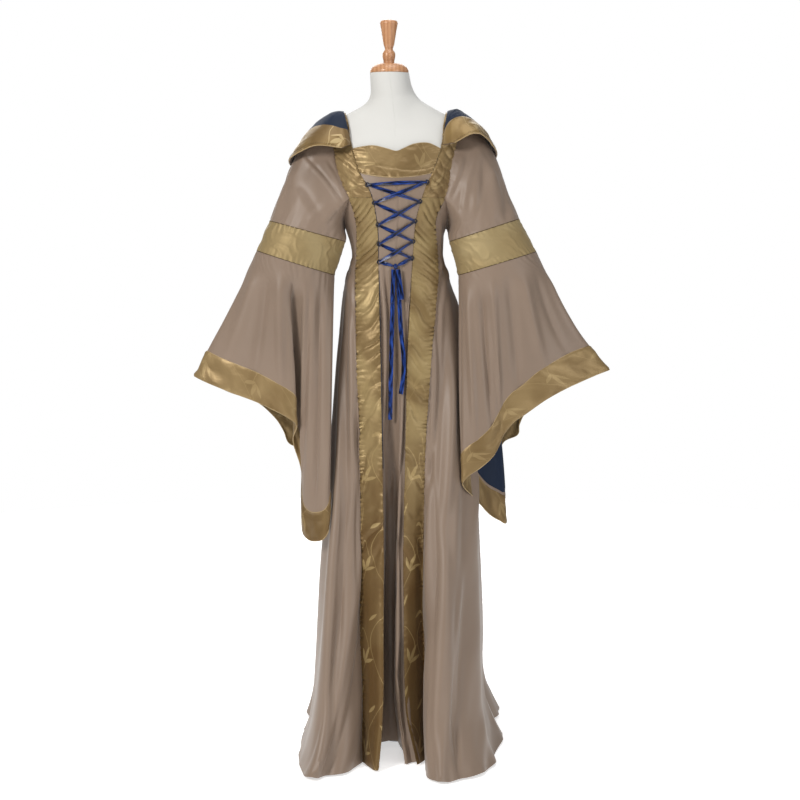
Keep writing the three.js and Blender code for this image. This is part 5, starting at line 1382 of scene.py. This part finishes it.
def body_pieces():
    def trunk_piece(name, first, columns, rows, top, seed, height):
        points = trunk_grid(first, first + 1, columns, rows, top)
        share = np.linspace(0, 1, columns)[:, None]
        relief = skirt_relief(seed, name, points, share, height)
        edge = np.minimum(share, 1 - share) * spans(points)[0][-1][None, :]
        relief *= ease(edge / 12 + 0.1)
        relief += puckers(seed + 21, points[..., 2], edge, 15, 13, 0.7) * ease(edge / 2)
        if name == "front_centre":
            low = ease((1100 - points[..., 2]) / 120)
            # The panel turns in beside its seams, and from the thigh down lies back between the strips
            relief -= low * 7 * (bump_at(share, 0.05, 1 / 14) + bump_at(share, 0.95, 1 / 14))
            relief -= ease((980 - points[..., 2]) / 500) * 7 * np.sin(math.pi * share) ** 0.5
            relief = np.minimum(relief, 0.3)
        body = ease((points[..., 2] - 1100) / 60)
        relief = np.where(relief < 0, relief * (1 - 0.45 * body), relief)
        # A valley stops short of the floor
        slope = np.maximum(normals_of(points)[..., 2], 0.05)
        relief = np.maximum(relief, (CLOTH - points[..., 2]) / slope)
        sew(name, points, relief, TAUPE, "taupe_satin", rests_on=["form_torso"])

    def neck(turn):
        return BACK_NECK_Z - GAP / 2 + 0 * turn

    def right_armhole(turn):
        return mix(UNDERARM_Z, BAND_TOP_Z, (turn - 1) ** ARMHOLE_RISE) - GAP / 2

    def left_armhole(turn):
        return right_armhole(7 - turn)

    def under_yoke(turn):
        return yoke_seam(trunk_point(turn, YOKE_BOTTOM_Z + 0 * turn)[..., 0]) - GAP / 2

    trunk_piece("back_right", 0, 54, 150, neck, 1, 1.6)
    trunk_piece("side_front_right", 1, 56, 210, right_armhole, 2, 1.4)
    trunk_piece("front_centre", 3, 56, 230, under_yoke, 3, 0.9)
    trunk_piece("side_front_left", 5, 56, 210, left_armhole, 4, 1.4)
    trunk_piece("back_left", 6, 54, 150, neck, 5, 1.6)


def seam_threads():
    """The sunken thread of the side seams and the centre back seam, which closes the cloth's edges."""
    seams = (("side_seam_right", 1, UNDERARM_Z - 6), ("side_seam_left", 6, UNDERARM_Z - 6),
             ("back_seam", 0, BACK_NECK_Z - 40))
    for name, seam, top in seams:
        z = np.linspace(HEM_Z + 2, top, 210)
        turn = np.full(z.shape, float(seam))
        line, normal = trunk_point(turn, z), trunk_normal(turn, z)
        piping(name + "_thread", line, normal, CLOTH * 0.5, 0.75, TAUPE_THREAD)


def pleats(z, share, lean, low, high, pitch, size, seed):
    """Slanting creases of the satin between two heights: thin valleys of uneven depth in a smoother cloth."""
    fade = ease((z - low) / 50) * ease((high - z) / 40)
    wave = z / pitch + lean * share + 0.5 * noise(seed, z / 80, share * 0.9)
    off = np.abs(np.mod(wave, 1) * 2 - 1)
    depth = np.clip(0.75 + 0.9 * noise(seed + 2, np.floor(wave) * 0.71, share * 1.3), 0.1, 1.6)
    return size * fade * depth * (0.3 - bump_at(off, 0, 0.34))


def satin_relief(seed, name, points, share):
    z = points[..., 2]
    outer = share if name == "right" else 1 - share
    from_outer = outer * spans(points)[0][-1][None, :]
    from_inner = (1 - outer) * spans(points)[0][-1][None, :]
    relief = puckers(seed, z, from_outer, 11, 13, 2.3)
    relief += puckers(seed + 4, z + 6, from_inner, 15, 9, 1.0)
    slant = -1 if name == "right" else 1
    relief += pleats(z, share, slant * 3.0, 1052, 1272, 17, 3.4 if name == "right" else 4.0, seed + 8)
    relief += pleats(z, share, slant * 1.5, 860, 1090, 42, 3.0, seed + 9)
    relief += pleats(z, share, slant * 1.2, 380, 880, 64, 2.8, seed + 10)
    relief += 1.3 * noise(seed + 13, share * 1.7, z / 58, 1)
    relief += 1.6 * noise(seed + 15, share * 1.1 - z / 160, z / 110, 1)
    return relief


def band_pieces():
    for name, first, seed in (("right", 2, 40), ("left", 4, 60)):
        columns, rows = 24, 460
        points = trunk_grid(first, first + 1, columns, rows, lambda turn: BAND_TOP_Z - GAP / 2 + 0 * turn)
        share = np.linspace(0, 1, columns)[:, None]
        relief = satin_relief(seed, name, points, share)
        sew("front_band_" + name, points, relief, GOLD, "gold_jacquard", rests_on=["form_torso"])
        # The stitches take the dark thread colour: painted shade along the strip's puckered edges
        for side, k in (("inner", -1 if name == "right" else 0), ("outer", 0 if name == "right" else -1)):
            shaped = raised(points, relief)
            line, normal = shaped[k][::3], normals_of(shaped)[k][::3]
            paths, sides = stitch_row(line, normal, 6.0, 4.0, CLOTH + 0.1)
            piece = tubes(f"front_band_{name}_{side}_stitches", paths, sides, 0.42, GOLD_THREAD, 5)


# How deep a crease may go where the cloth lies 3.4 mm over the form
DEEPEST = 2.4


def strap_pieces():
    for side_name, seed in (("Right", 80), ("Left", 90)):
        name = side_name.lower()
        points = strap_grid(side_name, 34, 62)
        if side_name == "Left":
            points = points[::-1]
        across, along = spans(points)
        share = np.linspace(0, 1, points.shape[0])[:, None]
        width = across[-1][None, :]
        edge = np.minimum(share, 1 - share) * width
        relief = 2.8 * noise(seed, across / 24, along / 30, 2) * ease(edge / 6 + 0.15)
        relief += pleats(along, share, 2.4, -40, 190, 24, 1.5, seed + 4)
        relief += puckers(seed + 6, along, edge, 12, 12, 1.2)
        # The sharp tuck at the strap's foot, where it meets the strip
        relief -= 3.0 * bump_at(along, 14, 7) * bump_at(share, 0.4, 0.18)
        sew("strap_" + name, points, np.maximum(relief, -DEEPEST), GOLD_SOFT, "gold_jacquard", held="draped",
            rests_on=["form_torso"])


def yoke_piece():
    points = yoke_grid(110, 54)
    across, along = spans(points)
    share = np.linspace(0, 1, 110)[:, None]
    edge = np.minimum(share, 1 - share) * across[-1][None, :]
    relief = puckers(101, along, edge, 13, 22, 1.5)
    relief += puckers(103, across, along, 21, 16, 0.9)
    relief += 1.2 * noise(105, across / 34, along / 20, 3)
    relief -= 1.6 * bump_at(along, 20 + 6 * np.sin(across / 31), 4)
    sew("yoke", points, np.maximum(relief, -DEEPEST), GOLD_SOFT, "gold_jacquard", held="draped",
        rests_on=["form_torso"])
    normal = normals_of(points)
    for part, cut, row, lift, radius in (("lower", 2, 0, 0.75, 1.1), ("upper", 1, -1, 0.5, 1.0)):
        line, out = points[cut:-cut, row], normal[cut:-cut, row]
        piping(f"yoke_{part}_piping", line, out, CLOTH * lift, radius, PIPING)


# Sleeves
BELL_FOLDS = {
    "right": table(
        "top z_top bottom z_bottom wide high",
        (0.255, 1130, 0.225, 600, 13, -15), (0.205, 1120, 0.19, 560, 8, 6),
        (0.125, 1110, 0.12, 540, 10, -6), (0.165, 1120, 0.15, 620, 8, 3),
        (0.31, 1125, 0.31, 800, 13, 6), (0.37, 1110, 0.39, 830, 14, -5),
        (0.43, 1120, 0.46, 850, 16, 5), (0.52, 1110, 0.53, 850, 14, -4),
        (0.60, 1120, 0.60, 820, 16, 6), (0.68, 1110, 0.69, 790, 14, -8),
        (0.76, 1120, 0.77, 730, 14, 7), (0.84, 1110, 0.85, 680, 12, -7),
        (0.93, 1110, 0.93, 600, 12, 4), (0.05, 1100, 0.06, 560, 10, 3),
    ),
    "left": table(
        "top z_top bottom z_bottom wide high",
        (0.17, 1130, 0.175, 640, 10, -8), (0.225, 1125, 0.215, 700, 9, 6),
        (0.29, 1130, 0.275, 760, 12, -7), (0.345, 1120, 0.345, 820, 13, 6),
        (0.41, 1125, 0.42, 850, 14, -4), (0.49, 1110, 0.49, 860, 14, 4),
        (0.57, 1120, 0.57, 850, 14, -5), (0.64, 1110, 0.64, 800, 12, 6),
        (0.72, 1120, 0.72, 720, 14, -8), (0.80, 1110, 0.80, 600, 12, 6),
        (0.88, 1120, 0.87, 560, 12, -7), (0.11, 1120, 0.11, 660, 10, 5),
        (0.05, 1110, 0.05, 640, 9, -4), (0.95, 1100, 0.95, 610, 9, 4),
    ),
}


SLEEVE_CREASES = {
    "right": table(
        "x z x_end z_end wide high",
        (-201, 1354, -124, 1262, 4, -2.6), (-150, 1340, -118, 1282, 4, -1.8),
        (-240, 1300, -262, 1215, 12, -3), (-150, 1250, -190, 1212, 6, 1.8),
        (-215, 1290, -170, 1225, 9, -2.2), (-130, 1236, -152, 1204, 5, -1.8),
    ),
    "left": table(
        "x z x_end z_end wide high",
        (158, 1352, 128, 1268, 5, -2.4), (176, 1350, 150, 1230, 6, 2.0),
        (196, 1350, 182, 1225, 7, -2.2), (236, 1310, 250, 1222, 11, -3),
        (214, 1320, 222, 1220, 9, 2.4), (140, 1240, 158, 1206, 5, -1.8),
    ),
}


def facing_out(points, arm):
    return points if arm["side"] < 0 else points[::-1]


def around_share(points):
    return np.arange(points.shape[0])[:, None] / points.shape[0]


def sleeve_spans(points):
    """How far each point lies round the sleeve, from the piece's upper edge and from its lower edge."""
    across, along = spans(points, True)
    return across[:-1], along, along[:, -1:] - along


def upper_sleeve(name, arm, seed):
    points = facing_out(upper_sleeve_grid(arm, 64), arm)
    across, upper, lower = sleeve_spans(points)
    relief = puckers(seed, across, upper, 15, 26, 1.5 if name == "left" else 0.9)
    relief += 1.8 * noise(seed + 2, np.sin(2 * math.pi * around_share(points)) * 3, upper / 60, 2)
    relief += creases(SLEEVE_CREASES[name], points, -10)
    relief += puckers(seed + 5, across, lower, 19, 30, 1.1)
    relief *= ease(upper / 5 + 0.05) * ease(lower / 5 + 0.05)
    sew("upper_sleeve_" + name, points, relief, TAUPE, "taupe_satin", closed=True)


def elbow_band(name, arm, seed):
    points = facing_out(elbow_band_grid(arm, 250, 30), arm)
    across, upper, lower = sleeve_spans(points)
    inside = ease(upper / 6 + 0.1) * ease(lower / 6 + 0.1)
    relief = puckers(seed + 9, across, upper, 13, 16, 1.0)
    relief += puckers(seed + 10, across, lower, 12, 18, 1.2)
    wave = across / 32 + upper / 40 + 0.9 * noise(seed + 12, across / 44, upper / 36)
    relief += 1.5 * (np.abs(np.mod(wave, 1) * 2 - 1) ** 4 - 0.3) * inside
    relief += 0.8 * noise(seed + 13, across / 30, upper / 24, 2) * inside
    sew("elbow_band_" + name, points, relief, GOLD_LIGHT, "gold_jacquard", closed=True)
    normal = normals_of(points, True)
    # The seam cords take the dark thread colour: painted shade along the band's seams
    for part, k in (("upper", 0), ("lower", -1)):
        label = f"elbow_band_{name}_{part}_piping"
        piping(label, points[:, k], normal[:, k], CLOTH * 0.9, 0.9, GOLD_THREAD, True)


def bell(name, arm, seed):
    """The bell of a sleeve and its lining, whose points are every second one of the bell's."""
    points = facing_out(bell_grid(arm, 200, 84, False), arm)
    width = spans(points, True)[0][-1][None, :]
    across, upper, lower = sleeve_spans(points)
    share = around_share(points) if arm["side"] < 0 else 1 - around_share(points)
    relief = 1.25 * furrows(BELL_FOLDS[name], share, points[..., 2], width) * ease(upper / 90)
    relief += puckers(seed + 17, across, upper, 16, 34, 1.4) * ease(upper / 4 + 0.05)
    # The folds flatten toward the border and toward the seam inside the arm
    relief *= mix(0.3, 1, ease(lower / 90))
    relief *= mix(0.5, 1, ease(np.minimum(share, 1 - share) / 0.1))
    sew("bell_" + name, points, relief, TAUPE, "taupe_satin", closed=True)
    node = "bell_lining_" + name
    lining = raised(points, relief, True)[::2, ::2]
    piece = cloth_wall(node + "_cloth", lining, -GAP - LINING, -GAP, NAVY, True)
    declare_cloth(piece, node, "navy_lining", points[::2, ::2], True)


def cuff_trim(name, arm, seed):
    points = facing_out(bell_grid(arm, 260, 16, True), arm)
    across, upper, lower = sleeve_spans(points)
    inside = ease(upper / 6 + 0.12) * ease(lower / 6 + 0.2)
    relief = (2.2 * noise(seed + 21, across / 30, upper / 34, 2) + 0.7) * inside
    relief += puckers(seed + 23, across, upper, 14, 12, 0.8) * inside
    relief += puckers(seed + 25, across, lower, 16, 12, 0.7) * inside
    sew("cuff_trim_" + name, points, relief, GOLD_SOFT, "gold_jacquard", low=-GAP, closed=True)
    normal = normals_of(points, True)
    for part, k, lift, radius in (("seam", 0, 0.7, 0.9), ("edge", -1, 0.35, 1.1)):
        label = f"cuff_trim_{name}_{part}_piping"
        piping(label, points[:, k], normal[:, k], CLOTH * lift, radius, PIPING, True)


def sleeve_pieces():
    for (name, arm), seed in zip(ARMS.items(), (120, 150)):
        upper_sleeve(name, arm, seed)
        elbow_band(name, arm, seed)
        bell(name, arm, seed)
        cuff_trim(name, arm, seed)


# Hood
def hood_pieces():
    lining_rows, facing_rows = 30, 26
    columns = 170
    points = hood_grid(columns, lining_rows, facing_rows)
    across, along = spans(points)
    u = np.linspace(0, 1, columns)[:, None]
    relief = 3.5 * noise(201, u * 9, along / 90, 2) * ease(along / 40) * bump_at(u, 0.5, 0.2)
    relief += 1.5 * noise(203, across / 50, along / 34, 2) * ease(along / 25)
    ends = ease(np.minimum(u, 1 - u) / 0.06)
    relief *= ends * 0.8 + 0.1
    points = raised(points, relief)
    sew("hood_shell", points, 0, TAUPE, "taupe_satin", low=-CLOTH, high=0, held="draped",
        rests_on=["form_torso"])
    lining = points[:, : lining_rows + 1]
    sew("hood_lining", lining, 0, NAVY, "navy_lining", low=GAP, high=GAP + LINING, held="draped")
    facing = points[:, lining_rows:]
    across, along = spans(facing)
    satin = 1.4 * noise(207, across / 40, along / 24, 3) + puckers(209, across, along, 22, 20, 0.8)
    satin *= ease(along / 8 + 0.1) * ease((along[:, -1:] - along) / 8 + 0.1)
    sew("hood_facing", facing, np.maximum(satin, -0.1), GOLD_LEAFY, "gold_jacquard", low=GAP,
        high=GAP + LINING, held="draped")
    normal = normals_of(points)
    piping("hood_edge_piping", points[:, -1], normal[:, -1], 0.2, 1.3, PIPING)
    paths, sides = stitch_row(facing[:, -5], normals_of(facing)[:, -5], 5.0, 3.0, GAP + LINING + 1.6)
    tubes("hood_facing_stitches", paths, sides, 0.3, GOLD_THREAD, 5)


# The dress form and its stand
FORM_MEAN_RADIUS = 110


def form_pieces():
    # Heights of the rings of points: the trunk, the shoulders and the neck
    parts = ((860, 1380, 56), (1388, 1484, 40), (1490, 1540.7, 14))
    rings = np.concatenate([np.linspace(*part) for part in parts])
    columns = 96
    turn = 2 * math.pi * np.arange(columns) / columns
    lean = np.clip((rings - NECK_BOTTOM[2]) / (NECK_TOP[2] - NECK_BOTTOM[2]), 0, 1)
    centre = stack(mix(NECK_BOTTOM[0], NECK_TOP[0], lean), mix(NECK_BOTTOM[1], NECK_TOP[1], lean) / 2, rings)
    wide = form_reach(centre, np.array([1.0, 0, 0]), 0)
    deep = form_reach(centre, np.array([0, -1.0, 0]), 0)
    direction = unit(stack(np.sin(turn)[:, None] * wide, -np.cos(turn)[:, None] * deep, 0 * wide))
    start = np.broadcast_to(centre, direction.shape)
    grid = start + direction * form_reach(start, direction, 0)[..., None]
    faces = tube_faces(columns, len(rings))
    flat = stack(turn[:, None] * FORM_MEAN_RADIUS, rings, 0).reshape(-1, 3)[:, :2]
    piece = mesh_piece("form_torso_cover", grid.reshape(-1, 3), faces, COVER, flat[np.concatenate(faces)])
    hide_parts("form_torso")
    # The cover's front seam shows above the chest
    line = grid[0][60:]
    seam = tubes("form_cover_front_seam", [line], [np.tile([0.0, -1.0, 0.0], (len(line), 1))], 0.35, COVER, 6)

    cap = lathe("form_cap_beech", rounded(CAP_PROFILE, 1.2), NECK_TOP[:3], BEECH)
    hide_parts("form_cap")
    foot = (NECK_TOP[0] - 1, NECK_TOP[1], NECK_TOP[2] + 20 + GAP)
    finial = lathe("form_finial_beech", rounded(FINIAL_PROFILE, 1.5), foot, BEECH)
    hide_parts("form_finial")


def rounded(profile, radius, steps=5):
    """A turned profile with each inner corner cut by a short curve."""
    p = np.asarray(profile, float)
    out = [p[0]]
    for before, corner, after in zip(p[:-2], p[1:-1], p[2:]):
        a = corner + (before - corner) * min(0.45, radius / max(np.linalg.norm(before - corner), 1e-6))
        b = corner + (after - corner) * min(0.45, radius / max(np.linalg.norm(after - corner), 1e-6))
        for t in np.linspace(0, 1, steps):
            out.append((1 - t) ** 2 * a + 2 * t * (1 - t) * corner + t * t * b)
    out.append(p[-1])
    out = np.array(out)
    out[:, 0] = np.maximum(out[:, 0], 0.05)
    return out


def stand_finish():
    for node in ("stand_pole", "stand_hub", *(f"stand_leg_{k}" for k in (1, 2, 3))):
        piece = bpy.data.objects[node]
        for held in piece.material_slots:
            held.material = STEEL
        if not piece.material_slots:
            piece.data.materials.append(STEEL)


look()
hang_tails()
lace_front()
loop_tape_and_painted_shadow()
tie_knot()
bow_loops()
body_pieces()
seam_threads()
band_pieces()
strap_pieces()
yoke_piece()
sleeve_pieces()
hood_pieces()
form_pieces()
stand_finish()
studio()
